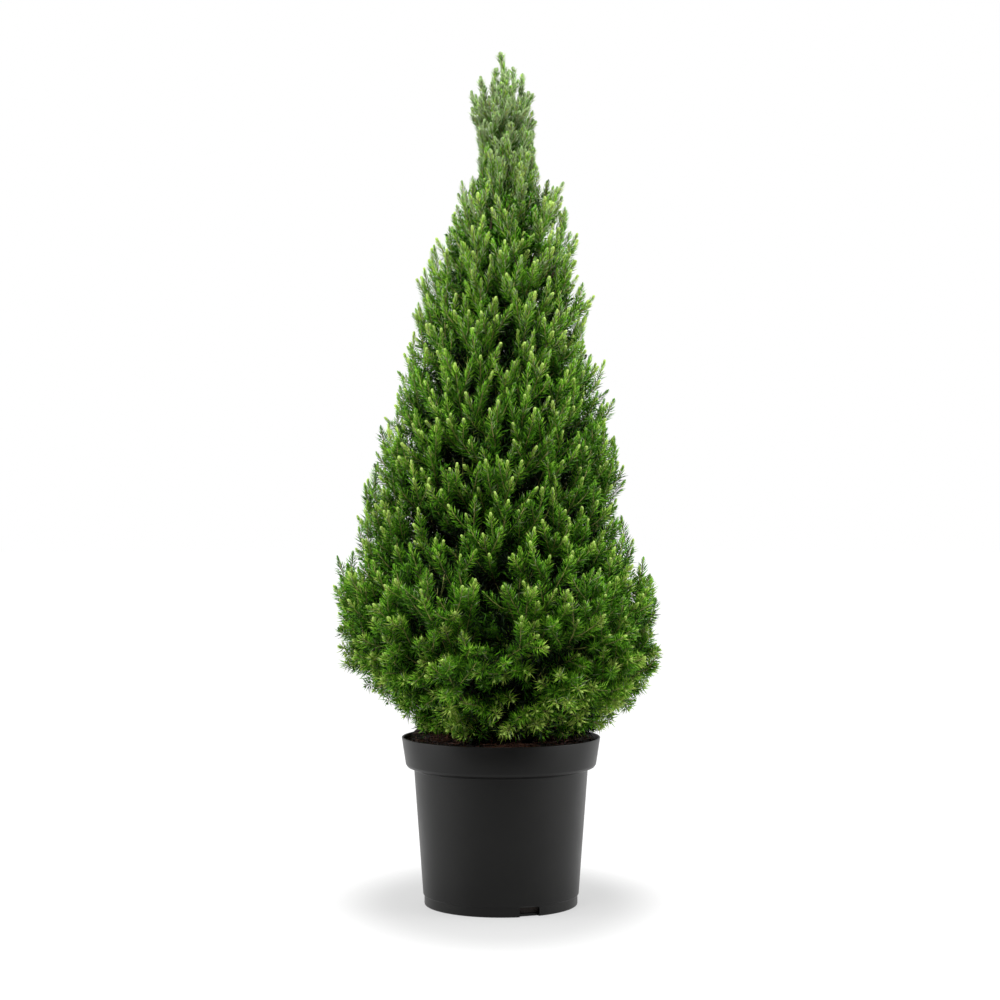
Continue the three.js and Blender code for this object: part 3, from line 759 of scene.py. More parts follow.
# Sprays: where their tips stand and how they lean. In a pair of lists, the first is heights.
sprays = {
    "count": 430, "innerCount": 280, "coreCount": 22,
    "innerBand": (219, 860), "coreBand": (862, 945), "coreFrom": 850,  # heights
    "inset": 3.0,  # needles stand out past a tip by this much
    "unevenHeight": 7, "unevenAngle": 0.07, "evenFrom": 878,
    "fullness": ([207, 860, 900, 1031], [1.0, 0.7, 0.25, 0.0]),
    "sink": 12.0, "lobeSize": 70.0, "lobeDepth": 9.0, "lobeContrast": 0.9,
    "innerDepth": (17, 50), "coreDepth": (0.35, 0.75), "deepest": 0.75,
    "tilt": 0.22, "loose": ([207, 860, 1031], [1, 0.8, 0.25]), "length": (0.85, 1.12),
    "bend": 0.16, "sagging": ([207, 420, 900, 1031], [0.25, 1, 0.5, 0]), "bow": 0.35,
    "trunkClear": 7, "rootShare": 0.25, "bendOverPot": 8, "rootOverPot": 11,
}
# The lowest sprays hang over the peat.
skirt = {
    "count": 40, "tipRadius": (76, 101), "tipHeight": (209, 217), "rootRadius": 52, "rootHeight": 252,
    "uneven": (0.1, 0.3, 12), "out": 8, "arch": 12,
}
# By height: spray length, side shoots on it, their length, their angle, needle length, needle angle,
# the length of the closed finger at a shoot's end, its needles' length and angle, and their closeness.
growth = {
    "height": [205, 300, 420, 600, 780, 880, 930, 1031],
    "sprayLength": [58, 78, 86, 88, 84, 78, 76, 60],
    "sideShoots": [3.8, 3.6, 3.5, 3.6, 3.8, 3.4, 2.4, 2.0],
    "sideLength": [36, 41, 46, 47, 42, 35, 26, 20],
    "sideAngle": [55, 50, 43, 37, 33, 28, 24, 22],
    "needleLength": [13.6, 13.2, 12.4, 11.8, 10.6, 9.2, 8.4, 8.0],
    "needleAngle": [74, 67, 60, 57, 52, 44, 40, 38],
    "finger": [2.5, 4.5, 10.5, 13.5, 14, 14, 17, 20],
    "closedLength": [5.4, 5.4, 6.4, 6.8, 7.2, 7.9, 8.7, 8.8],
    "closedAngle": [44, 40, 30, 28, 33, 41, 45, 45],
    "dense": [1.2, 1.15, 1.0, 0.95, 1.0, 1.0, 1.0, 1.0],
    "fresh": [2.3, 2.3, 2.0, 1.8, 1.7, 1.6, 1.2, 1.0],  # how much lighter a strong shoot's end is
    "base": [2.7, 2.3, 2.4, 2.65, 3.05, 3.25, 3.2, 3.25],  # how light the older needles are
    # The core row is painted shade on the inner sprays: darker than the outer needles, most of all low in
    # the crown.
    "core": [0.2, 0.1, 0.3, 0.7, 1.2, 1.9, 2.6, 2.6],  # how light the inner ones are
}
# The spire's shoots stand one by one, and the upper ones fan out from one place on its stem.
spire = {
    "leaderFoot": 926, "leaderTip": -1.0, "fanFoot": 921, "fanAbove": 940, "fanSpread": 8, "angle": 30,
    "rootRadius": 4, "bulge": 0.1, "shortest": 34, "fall": (0.85, 1.15),
    "backCount": 40, "backFrom": 4, "backTop": 1001, "backRise": 0.7, "top": 1029,
    "leaderDense": 1.5, "leaderWide": 1.15,
    "tips": [  # x, height, y
        (14.4, 1012, -5), (26, 1005, 3), (28.5, 983, 8), (38.5, 980, -5), (41.5, 947, -2),
        (40, 915, 2), (43, 892, -8), (1, 1002, 9), (-7, 1010, -4), (3, 1016, 3), (5, 1003, -7),
        (0, 993, -9), (8, 990, 7), (34, 968, 7), (-28, 966, 8), (12, 941, -30), (-12, 940, -30),
        (36, 934, -6), (-24, 998, -3), (-20.5, 976, 9), (-35.5, 980.5, 2), (-35, 955, -4),
        (-24, 921, -14), (-7, 988, -12), (9, 976, -16), (-20, 958, -22), (22, 955, -22),
        (2, 947, -27), (-26, 936, -22), (31, 931, -24), (2, 921, -36), (-13, 907, -38),
        (-3, 897, -42), (16, 905, -38), (33, 906, -28), (-26, 899, -32), (24, 892, -40),
    ],
}
# Dark hollows between the sprays: angle round the trunk, height, size, depth
hollows = [
    (-89, 393, 30, 62), (-93, 425, 18, 36), (-88, 345, 22, 44), (-85, 290, 30, 58),
    (-72, 297, 22, 44), (-96, 250, 27, 56), (-103, 279, 14, 26), (-89, 529, 17, 34),
    (-97, 531, 13, 22), (-84, 364, 16, 30), (-68, 327, 18, 34), (-56, 300, 15, 28),
    (-101, 488, 13, 24), (-69, 467, 13, 24), (-69, 450, 12, 20), (-118, 468, 15, 28),
    (-119, 486, 12, 20), (-121, 309, 13, 26), (-127, 338, 13, 24), (-77, 408, 14, 26),
    (-67, 393, 13, 24), (-102, 338, 14, 24), (-108, 353, 12, 20), (-117, 227, 14, 26),
    (-99, 512, 13, 22), (-65, 547, 12, 20), (-115, 715, 18, 34), (-67, 740, 14, 24),
    (-88, 800, 10, 16), (-90, 692, 13, 26), (-80, 652, 11, 22), (0, 683, 34, 58),
    (180, 633, 16, 32), (-76, 262, 15, 32), (-108, 256, 14, 30), (-92, 318, 16, 30),
    (-81, 238, 13, 26),
]
# Lobes that stand out of the even outline: angle, height, size, how far
bulges = [
    (180, 750, 25, 25), (0, 720, 22, 24), (180, 657, 22, 13), (0, 652, 15, 20), (0, 612, 20, 18),
    (180, 514, 18, 14), (0, 515, 24, 26), (180, 436, 28, 24), (0, 436, 24, 20), (0, 792, 26, 15),
    (180, 290, 22, 8), (180, 848, 20, 11), (0, 820, 16, 6), (0, 872, 16, 20), (180, 568, 20, 14),
    (0, 512, 14, 8), (180, 262, 18, 7), (0, 262, 22, 10), (180, 448, 14, 8), (180, 700, 18, 6),
    (0, 708, 12, 8), (0, 772, 12, 8),
]
backHollows = {"count": 26, "angles": (-25, 205), "lowest": 240, "band": 600, "size": (11, 24),
               "depth": (20, 42), "seed": 5}
# The crown stands a little beside the trunk's foot, by height.
axisDrift = {
    "height": [205, 246, 275, 340, 400, 460, 500, 600, 700, 790, 875, 925, 975, 1031],
    "shift": [10, 15, 5, -5, -10, -13, -7, 0, 2, 4, 9, 6, 0, -1],
}


def allHollows():
    rng = np.random.default_rng(backHollows["seed"])
    found = list(hollows)
    for _ in range(backHollows["count"]):
        angle = rng.uniform(*backHollows["angles"])
        height = backHollows["lowest"] + backHollows["band"] * rng.uniform() ** 1.2
        share = rng.uniform()
        size, depth = (low + share * (high - low)
                       for low, high in (backHollows["size"], backHollows["depth"]))
        found.append((angle, height, size, depth))
    return found


def driftAt(heights):
    return np.interp(heights, axisDrift["height"], axisDrift["shift"])


def onSkin(heights, angles):
    return radial(angles) * crownRadius(heights)[:, None] + np.outer(heights, [0, 0, 1])


def spotsAt(heights, angles, spots):  # how deep the round spots of a list reach at places on the skin
    skin = onSkin(heights, angles)
    reached = np.zeros(len(heights))
    for angle, height, size, far in spots:
        middle = radial(np.array(math.radians(angle))) * crownRadius(height) + [0, 0, height]
        reached += far * np.exp(-(np.linalg.norm(skin - middle, axis=1) / size) ** 2)
    return reached


def tipPoints(heights, angles, depth):
    depth = depth + spotsAt(heights, angles, allHollows()) - spotsAt(heights, angles, bulges)
    depth = np.minimum(depth, crownRadius(heights) * sprays["deepest"])
    tips = onSkin(heights, angles) - crownNormal(heights, angles) * depth[:, None]
    tips[:, 0] += driftAt(heights)
    return tips


def spireTips():  # the leader's, then the placed ones, then seeded ones behind them
    heights, angles = shootTips(spire["backCount"], crown["neck"], spire["backTop"])
    behind = crownRadius(heights) * np.sin(angles) > spire["backFrom"]
    x, height, y = np.array(spire["tips"], float).T
    lower = crown["neck"] + spire["backRise"] * (heights[behind] - crown["neck"])
    return (np.concatenate([[spire["top"]], height, lower]),
            np.concatenate([[0], np.arctan2(y, x), angles[behind]]))


def grownSprays():
    rng = np.random.default_rng(3)
    sets = [
        (*shootTips(sprays["count"], crown["stations"][0][0], crown["neck"]), False),
        (*spireTips(), False),
        (*shootTips(sprays["innerCount"], *sprays["innerBand"], first=0.37), True),
        (*shootTips(sprays["coreCount"], *sprays["coreBand"], first=0.19), True),
    ]
    heights = np.concatenate([s[0] for s in sets])
    angles = np.concatenate([s[1] for s in sets])
    inner = np.concatenate([np.full(len(s[0]), s[2]) for s in sets])
    count = len(heights)
    shifted = rng.uniform(-sprays["unevenHeight"], sprays["unevenHeight"], count)
    heights = heights + np.where(heights < sprays["evenFrom"], shifted, 0)
    angles = angles + rng.uniform(-sprays["unevenAngle"], sprays["unevenAngle"], count)
    lobes = [noise.noise(Vector(p) / sprays["lobeSize"]) for p in onSkin(heights, angles)]
    lobes = np.clip(0.5 + sprays["lobeContrast"] * np.array(lobes), 0, 1)
    full = np.interp(heights, *sprays["fullness"])
    sunk = sprays["lobeDepth"] * lobes + sprays["sink"] * rng.uniform(0, 1, count) ** 2
    depth = sprays["inset"] + full * sunk
    depth = depth + np.where(inner, rng.uniform(*sprays["innerDepth"], count) * full, 0)
    core = inner & (heights > sprays["coreFrom"])
    depth = np.where(core, rng.uniform(*sprays["coreDepth"], count) * crownRadius(heights), depth)
    tips = tipPoints(heights, angles, depth)
    direction = shootDirection(heights, angles)
    first, second = acrossOf(direction)
    lean = rng.normal(0, sprays["tilt"], (count, 2)) * np.interp(heights, *sprays["loose"])[:, None]
    direction = unit(direction + first * lean[:, :1] + second * lean[:, 1:])
    length = np.interp(heights, growth["height"], growth["sprayLength"])
    length = length * rng.uniform(*sprays["length"], count)
    root = tips - direction * length[:, None]
    tooNear = np.linalg.norm(root[:, :2], axis=1) < sprays["trunkClear"]
    root[tooNear, :2] = tips[tooNear, :2] * sprays["rootShare"]
    fall = placeSpire(rng, heights, root, tips)
    # Each spray starts flatter than it ends, so it sweeps up to its tip.
    sag = length * sprays["bend"] * np.interp(heights, *sprays["sagging"])
    half = (root + tips) / 2 + radial(angles) * (sprays["bow"] * sag)[:, None]
    bulge = np.where(heights > crown["neck"], spire["bulge"] * fall, 0)
    half = half - np.outer(sag, [0, 0, 1]) + radial(angles) * bulge[:, None]
    half[:, 2] = np.maximum(half[:, 2], pot["height"] + sprays["bendOverPot"])
    root[:, 2] = np.maximum(root[:, 2], pot["height"] + sprays["rootOverPot"])
    hanging = skirtSprays(rng)
    points = [np.concatenate(pair) for pair in zip([root, half, tips], hanging)]
    heights = np.concatenate([heights, hanging[2][:, 2]])
    inner = np.concatenate([inner, np.zeros(skirt["count"], bool)])
    return {"heights": heights, "inner": inner, "points": points, "rng": rng}


# Sets the spire's roots and tips, and returns how far each spray would fall to its root.
def placeSpire(rng, heights, root, tips):
    leader = sprays["count"]
    placed = leader + 1 + np.arange(len(spire["tips"]))
    tips[placed] = np.array(spire["tips"], float)[:, [0, 2, 1]] - [0, 0, sprays["inset"]]
    out = np.linalg.norm(tips[:, :2], axis=1)
    fall = np.maximum(out / math.tan(math.radians(spire["angle"])), spire["shortest"])
    fall = fall * rng.uniform(*spire["fall"], len(tips))
    spread = rng.uniform(-spire["fanSpread"], spire["fanSpread"], len(tips))
    fanned = tips[:, 2] - spire["fanFoot"] - spread
    fall = np.where(tips[:, 2] > spire["fanAbove"], fanned, fall)
    foot = radial(np.arctan2(tips[:, 1], tips[:, 0])) * spire["rootRadius"]
    foot[:, 2] = tips[:, 2] - fall
    inSpire = heights > crown["neck"]
    root[inSpire] = foot[inSpire]
    tips[leader] = [spire["leaderTip"], 0.0, crown["stations"][-1][0] - sprays["inset"]]
    root[leader] = [0.0, 0.0, spire["leaderFoot"]]
    return fall


def skirtSprays(rng):
    count = skirt["count"]
    unevenAngle, unevenRoot, unevenHeight = skirt["uneven"]
    angles = np.arange(count) * goldenAngle + rng.uniform(-unevenAngle, unevenAngle, count)
    tips = radial(angles) * rng.uniform(*skirt["tipRadius"], count)[:, None]
    tips[:, 2] = rng.uniform(*skirt["tipHeight"], count)
    root = radial(angles + rng.uniform(-unevenRoot, unevenRoot, count)) * skirt["rootRadius"]
    root[:, 2] = skirt["rootHeight"] + rng.uniform(-unevenHeight, unevenHeight, count)
    half = (root + tips) / 2 + radial(angles) * skirt["out"] + [0, 0, skirt["arch"]]
    return [root, half, tips]


# Side shoots, from the first to the last place along a spray, and which of them are dropped.
sideShoots = {
    "first": 0.2, "last": 0.88, "innerShare": 0.8, "least": 2, "unevenNumber": 0.7, "unevenPlace": 0.05,
    "unevenTurn": 0.25, "outwardRise": 40.0, "turnedIn": -0.2, "turnOut": 1.3, "angle": (0.8, 1.2),
    "length": (0.75, 1.2), "firstLength": 1.12, "shorter": 0.5, "sagging": 0.1,
    "curl": ([205, 255, 330, 500], [-0.12, 0.02, 0.3, 0.42]),  # by height: how far an end turns up
    "topGap": 6, "overPot": 7, "belowRim": 10, "besideRim": 6, "pull": 0.5, "strayed": 22,
}


def grownShoots(grown):
    rng = grown["rng"]
    root, half, tips = grown["points"]
    heights, inner = grown["heights"], grown["inner"]
    count = len(heights)
    wanted = np.interp(heights, growth["height"], growth["sideShoots"])
    wanted = wanted + rng.uniform(-sideShoots["unevenNumber"], sideShoots["unevenNumber"], count)
    wanted = np.where(inner, wanted * sideShoots["innerShare"], wanted)
    number = np.maximum(np.round(wanted).astype(int), sideShoots["least"])
    owner = np.repeat(np.arange(count), number)
    order = np.concatenate([np.arange(n) for n in number])
    share = (order + 0.5) / number[owner]
    at = sideShoots["first"] + (sideShoots["last"] - sideShoots["first"]) * share
    at = at + rng.uniform(-sideShoots["unevenPlace"], sideShoots["unevenPlace"], len(at))
    curve = [root[owner], half[owner], tips[owner]]
    base, along = bezier(curve, at), bezierTangent(curve, at)
    turn = order * goldenAngle + rng.uniform(0, 2 * np.pi, count)[owner]
    turn = turn + rng.normal(0, sideShoots["unevenTurn"], len(turn))
    first, second = acrossOf(along)
    aside = first * np.cos(turn)[:, None] + second * np.sin(turn)[:, None]
    # Side shoots that would grow back into the plant turn out instead.
    outward = base.copy()
    outward[:, 2] = sideShoots["outwardRise"]
    outward = unit(outward)
    facing = (aside * outward).sum(1, keepdims=True)
    turned = aside - sideShoots["turnOut"] * facing * outward
    aside = unit(np.where(facing < sideShoots["turnedIn"], turned, aside))
    angle = np.radians(np.interp(heights[owner], growth["height"], growth["sideAngle"]))
    angle = angle * rng.uniform(*sideShoots["angle"], len(angle))
    direction = unit(along * np.cos(angle)[:, None] + aside * np.sin(angle)[:, None])
    length = np.interp(heights[owner], growth["height"], growth["sideLength"])
    length = length * (sideShoots["firstLength"] - sideShoots["shorter"] * share)
    length = length * rng.uniform(*sideShoots["length"], len(length))
    rise = np.zeros_like(base)
    rise[:, 2] = np.interp(heights[owner], *sideShoots["curl"]) * length
    reach = direction * length[:, None]
    side = {"start": base, "middle": base + 0.5 * reach - sideShoots["sagging"] * rise,
            "end": base + reach + rise, "owner": owner}
    return keptInside(side)


def keptInside(side):  # drops a side shoot that would stand far past the outline or in the pot's wall
    end = side["end"]
    drift = driftAt(end[:, 2])
    out = np.hypot(end[:, 0] - drift, end[:, 1])
    room = crownRadius(end[:, 2]) - sprays["inset"]
    room = room + spotsAt(end[:, 2], np.arctan2(end[:, 1], end[:, 0]), bulges)
    over = np.maximum(out - room, 0)
    pull = np.clip(over / np.maximum(out, 1), 0, sideShoots["pull"])[:, None]
    end[:, :2] *= 1 - pull
    side["middle"][:, :2] *= 1 - 0.5 * pull
    overPot = np.hypot(end[:, 0], end[:, 1]) < pot["rimRadius"] + sideShoots["besideRim"]
    low = pot["height"] + np.where(overPot, sideShoots["overPot"], -sideShoots["belowRim"])
    high = crown["stations"][-1][0] - sideShoots["topGap"]
    keep = (end[:, 2] > low) & (end[:, 2] < high) & (over < sideShoots["strayed"])
    return {key: value[keep] for key, value in side.items()}


# Wood as tubes: each spray's, in three ages, and its side shoots' stems.
twigs = {
    "sides": 5, "steps": 4, "footRadius": 1.3, "oldest": 1.1, "spireShare": 0.8, "youngFrom": 0.4,
    "youngRadius": 0.8, "tipRadius": 0.45, "onLimb": (0.35, 1.0), "beyond": (-0.6, 1.0), "sweep": 0.25,
    "overPot": 8, "stemPast": 0.12, "stemSides": 8, "stemTip": 0.45, "leaderPast": 6, "spireFrom": 880,
}
stems = {"sides": 3, "steps": 3, "footRadius": 0.72, "tipRadius": 0.5}


def tubes(start, middle, end, footRadius, tipRadius, sides, steps):  # closed tapering tubes, as arrays
    count = len(start)
    t = np.linspace(0, 1, steps + 1)
    curve = [start[:, None], middle[:, None], end[:, None]]
    first, second = acrossOf(bezierTangent(curve, t[None, :]))
    turn = np.arange(sides) * 2 * np.pi / sides
    ring = first[:, :, None] * np.cos(turn)[:, None] + second[:, :, None] * np.sin(turn)[:, None]
    radius = footRadius + (tipRadius - footRadius) * t
    verts = bezier(curve, t[None, :])[:, :, None] + ring * radius[:, None, None]
    faces = ringFaces(sides, steps + 1)[None] + (np.arange(count) * (steps + 1) * sides)[:, None, None]
    return verts.reshape(-1, 3), faces.reshape(-1, 3)


def ringFaces(sides, rings):  # triangles round a row of rings, closed at both ends
    k = np.arange(sides)
    one = np.stack([k, (k + 1) % sides, (k + 1) % sides + sides, k + sides], axis=1)
    quads = np.concatenate([one + s * sides for s in range(rings - 1)])
    fan = np.array([[0, i + 1, i] for i in range(1, sides - 1)])
    return np.concatenate([quads[:, [0, 1, 2]], quads[:, [0, 2, 3]], fan,
                           fan[:, ::-1] + (rings - 1) * sides])


def joinArrays(parts):
    verts, faces, offset = [], [], 0
    for v, f in parts:
        verts.append(v)
        faces.append(f + offset)
        offset += len(v)
    return np.concatenate(verts), np.concatenate(faces)


def smoothMesh(mesh):
    mesh.polygons.foreach_set("use_smooth", [True] * len(mesh.polygons))
    return mesh


def makeTwigs(grown, side):
    rng = np.random.default_rng(8)
    root, half, tips = grown["points"]
    middles = np.array([m["middle"] for m in masses])
    own = np.argmin(np.linalg.norm(tips[:, None] - middles[None], axis=2), axis=1)
    start, control = np.empty_like(root), np.empty_like(root)
    for i, mass in enumerate(masses):
        mine = np.where(own == i)[0]
        limb = mass["limb"]
        foot = bezier([p[None] for p in limb], rng.uniform(*twigs["onLimb"], len(mine)))
        beyond = np.clip(rng.uniform(*twigs["beyond"], len(mine)), 0, 1)[:, None]
        start[mine] = foot + (mass["middle"] - limb[2]) * beyond
        control[mine] = (start[mine] + root[mine]) / 2
    control = control + (root - half) * twigs["sweep"]
    control[:, 2] = np.maximum(control[:, 2], pot["height"] + twigs["overPot"])
    # A spray is older wood up to the last years' growth, and pale young bark from there.
    inSpire = grown["heights"] > twigs["spireFrom"]
    old = ~inSpire
    older = bezierPart([root, half, tips], 0.0, twigs["youngFrom"])
    newer = bezierPart([root, half, tips], twigs["youngFrom"], 1.0)
    thick, cut = twigs["footRadius"], (twigs["sides"], twigs["steps"])
    parts = [tubes(start[old], control[old], root[old], thick * twigs["oldest"], thick, *cut),
             tubes(*[p[old] for p in older], thick, twigs["youngRadius"], *cut)]
    for mass in masses:  # each mass's own stem, from its limb on through its middle
        reach = mass["middle"] + (mass["middle"] - mass["limb"][0]) * twigs["stemPast"]
        top = np.array([0.0, 0.0, spire["leaderFoot"] + twigs["leaderPast"]])
        tip = reach if mass["reach"] else top
        end = mass["limb"][2] if mass["boughAngle"] else mass["limb"][0]
        radius = bough["tipRadius"] * mass["thickness"]
        parts.append(tubes(np.array([end]), np.array([(end + tip) / 2]), np.array([tip]), radius,
                           radius * twigs["stemTip"], twigs["stemSides"], twigs["stemSides"]))
    brown = stemMaterial("older_twig_bark", "#24170E", "#4E3822")
    mesh = smoothMesh(meshFromArrays("twigs", *joinArrays(parts)))
    linkMesh(mesh, "twigs", brown, foliageNodes)
    parts = [tubes(side["start"], side["middle"], side["end"], stems["footRadius"], stems["tipRadius"],
                   stems["sides"], stems["steps"]),
             tubes(*newer, twigs["youngRadius"], twigs["tipRadius"], *cut),
             tubes(*[p[inSpire] for p in older], thick * twigs["spireShare"], twigs["youngRadius"], *cut)]
    green = stemMaterial("young_shoot_bark", "#5E6A2A", "#A6A35A")
    mesh = meshFromArrays("shoot_stems", *joinArrays(parts))
    linkMesh(mesh, "shoot_stems", green, foliageNodes)


# How many needles stand on a millimetre of shoot, and how each is shaped and closes round the bud.
needles = {
    "perMm": 2.0, "innerPerMm": 0.95, "axisPerMm": 1.7, "deepPerMm": 0.62, "spirePerMm": 2.7,
    "fewest": 6, "crowding": 1.5, "unevenTurn": 0.2,
    "width": 1.12, "widest": 0.4, "hump": 0.08, "size": (0.8, 1.1), "spread": (0.78, 1.16),
    "closing": (0.55, 1.25), "closedSpread": (0.6, 1.2), "budAngle": 0.45, "budEnd": 0.35, "past": 2.4,
    "footSize": 0.75, "footEnd": 0.2, "lift": 0.2,
    "limit": 49000,  # needles in one piece, which keeps it under 200,000 triangles
}
# The two darkest shades are painted shade, for needles deep in the crown where shade falls.
shades = [  # name, colour, from the darkest on; the last two are dealt out apart
    ("painted_shade_heart", "#071804"), ("inner", "#193605"), ("deep", "#3A6C0A"), ("leaf", "#60A018"),
    # The sage colour is a painted sheen: a pale grey-green mixed among the lighter needles.
    ("fresh", "#8DC336"), ("lime", "#B6D25E"), ("sageSheen", "#97AC78"), ("dry", "#42210F"),
]


def needleArrays(table, rng):
    curve = [table["start"], table["middle"], table["end"]]
    length = np.linalg.norm(table["end"] - table["start"], axis=1)
    count = (length * table["perMm"] * (1 - table["from"])).astype(int)
    count = np.maximum(count, needles["fewest"])
    owner = np.repeat(np.arange(len(count)), count)
    order = np.concatenate([np.arange(n) for n in count])
    t = (order + rng.uniform(0.1, 0.9, len(owner))) / count[owner]
    t = 1 - (1 - t) ** needles["crowding"]
    along = table["from"][owner] + (1 - table["from"][owner]) * t
    curve = [points[owner] for points in curve]
    base = bezier(curve, along)
    axis = bezierTangent(curve, along)
    first, second = acrossOf(axis)
    turn = order * goldenAngle + rng.uniform(0, 2 * np.pi, len(count))[owner]
    turn = turn + rng.normal(0, needles["unevenTurn"], len(owner))
    aside = first * np.cos(turn)[:, None] + second * np.sin(turn)[:, None]
    # Needles spread along the shoot, and the last ones close round its bud as a blunt finger.
    rest = length[owner] * (1 - along)
    finger = table["finger"][owner]
    opened, shut = needles["closing"]
    closing = 1 - smoothstep(opened * finger, shut * finger, rest)
    wide = np.radians(table["needleAngle"][owner]) * rng.uniform(*needles["spread"], len(owner))
    bud = smoothstep(0.0, needles["budEnd"], rest / finger)
    bud = needles["budAngle"] + (1 - needles["budAngle"]) * bud
    closed = np.radians(table["closedAngle"][owner]) * bud
    closed = closed * rng.uniform(*needles["closedSpread"], len(owner))
    angle = wide + (closed - wide) * closing
    size = table["needleLength"][owner] * rng.uniform(*needles["size"], len(owner))
    size = size * (needles["footSize"] + (1 - needles["footSize"]) * smoothstep(0, needles["footEnd"], t))
    shortest = table["closedLength"][owner] * rng.uniform(*needles["size"], len(owner))
    shortest = np.minimum(shortest, rest + needles["past"])
    size = size + (shortest - size) * closing
    direction = unit(axis * np.cos(angle)[:, None] + aside * np.sin(angle)[:, None])
    # Needles on the underside turn up a little towards the light.
    direction = unit(direction + np.outer(needles["lift"] * (1 - closing), [0, 0, 1]))
    return {"base": base, "direction": direction, "axis": axis, "size": size, "rest": rest, "t": t,
            "owner": owner}


# Each needle is a pointed blade of four triangles, humped on the side away from its shoot.
def needleMesh(name, base, direction, axis, size, width):
    across = unit(np.cross(direction, axis))
    back = np.cross(across, direction)
    end = base + direction * size[:, None]
    middle = base + (direction * needles["widest"] - back * needles["hump"]) * size[:, None]
    half = across * np.broadcast_to(0.5 * needles["width"] * width, len(base))[:, None]
    verts = np.stack([base, middle - half, middle + half, end], axis=1).reshape(-1, 3)
    one = np.array([[0, 2, 1], [3, 1, 2], [0, 1, 3], [0, 3, 2]])
    faces = one[None] + (np.arange(len(base)) * 4)[:, None, None]
    return meshFromArrays(name, verts, faces.reshape(-1, 3))


# A blunt resting bud on each growing shoot.
buds = {
    "height": [205, 330, 600, 1000, 1031], "radius": [1.3, 1.5, 1.9, 2.0, 2.9], "length": 6.0,
    "past": 2.8, "sides": 6, "least": 0.5, "smallest": 0.6, "strong": 0.7, "sheenFrom": 850,
    "profile": [(0.0, 0.35), (0.35, 0.9), (0.75, 1.0), (0.95, 0.55)],  # shares of length and radius
    "shades": {"lime": "#AECB66", "fresh": "#84AA40", "sageSheen": "#7F9A60"},
}


def makeBuds(table):
    grows = table["vigour"] > buds["least"]
    end, vigour = table["end"][grows], table["vigour"][grows]
    axis = unit(end - table["middle"][grows])
    first, second = acrossOf(axis)
    turn = np.arange(buds["sides"]) * 2 * np.pi / buds["sides"]
    ring = first[:, None] * np.cos(turn)[:, None] + second[:, None] * np.sin(turn)[:, None]
    radius = np.interp(end[:, 2], buds["height"], buds["radius"])
    radius = radius * np.clip(0.5 + 0.5 * vigour, buds["smallest"], 1.0)
    foot = end + axis * (buds["past"] - buds["length"])
    levels = [(foot + axis * (share * buds["length"]))[:, None] + ring * (wide * radius)[:, None, None]
              for share, wide in buds["profile"]]
    verts = np.concatenate(levels, axis=1)
    one = ringFaces(buds["sides"], len(levels))
    # Buds high on the spire take a paler colour, a painted sheen.
    sageSheen = end[:, 2] > buds["sheenFrom"]
    bright = vigour > buds["strong"]
    chosen = {"lime": bright & ~sageSheen, "fresh": ~bright & ~sageSheen, "sageSheen": sageSheen}
    for shade, mine in chosen.items():
        name = "buds_" + shade
        faces = one[None] + (np.arange(mine.sum()) * len(levels) * buds["sides"])[:, None, None]
        mesh = smoothMesh(meshFromArrays(name, verts[mine].reshape(-1, 3), faces.reshape(-1, 3)))
        scales = needleMaterial("bud_scales_" + shade, buds["shades"][shade])
        linkMesh(mesh, name, scales, foliageNodes)


# Old shoots fill the crown round the trunk, and none stands in a hollow. Their needles are painted
# shade, the further in the darker. More of them lie under the skirt, where part of the needles have died.
deepFill = {
    "count": 3300, "band": (212, 870), "share": (0.14, 0.85), "highShare": ([600, 800], [1.0, 0.82]),
    "outerFrom": 0.64, "behindHollow": 24, "least": 6, "lobeShare": 0.6, "inset": 13,
    "uneven": (0.1, 10), "overPot": 12, "loose": 0.7, "outward": 0.6,
    "lift": 0.6, "highLift": 2.0, "highFrom": (780, 880),
    "half": (14, 25), "fullRoom": 110, "smallest": 0.45, "nearAxis": 5,
    "under": {"count": 420, "band": (212, 236), "share": (0.03, 0.72), "radius": (60, 98)},
}
# Their needles: painted shade by number, lightest near the skin and high in the crown; widths and lengths
# as shares of a young needle's.
deepLook = {
    "shade": -0.3, "highShade": 2.6, "highFrom": (560, 860), "outerShade": 2.5, "width": 2.5,
    "outerWidth": 1.5, "longer": 1.35, "dryBelow": 240, "dryWithin": 96, "dryShare": 0.35,
}


def lobedRadius(heights, angles):
    return crownRadius(heights) + deepFill["lobeShare"] * spotsAt(heights, angles, bulges)


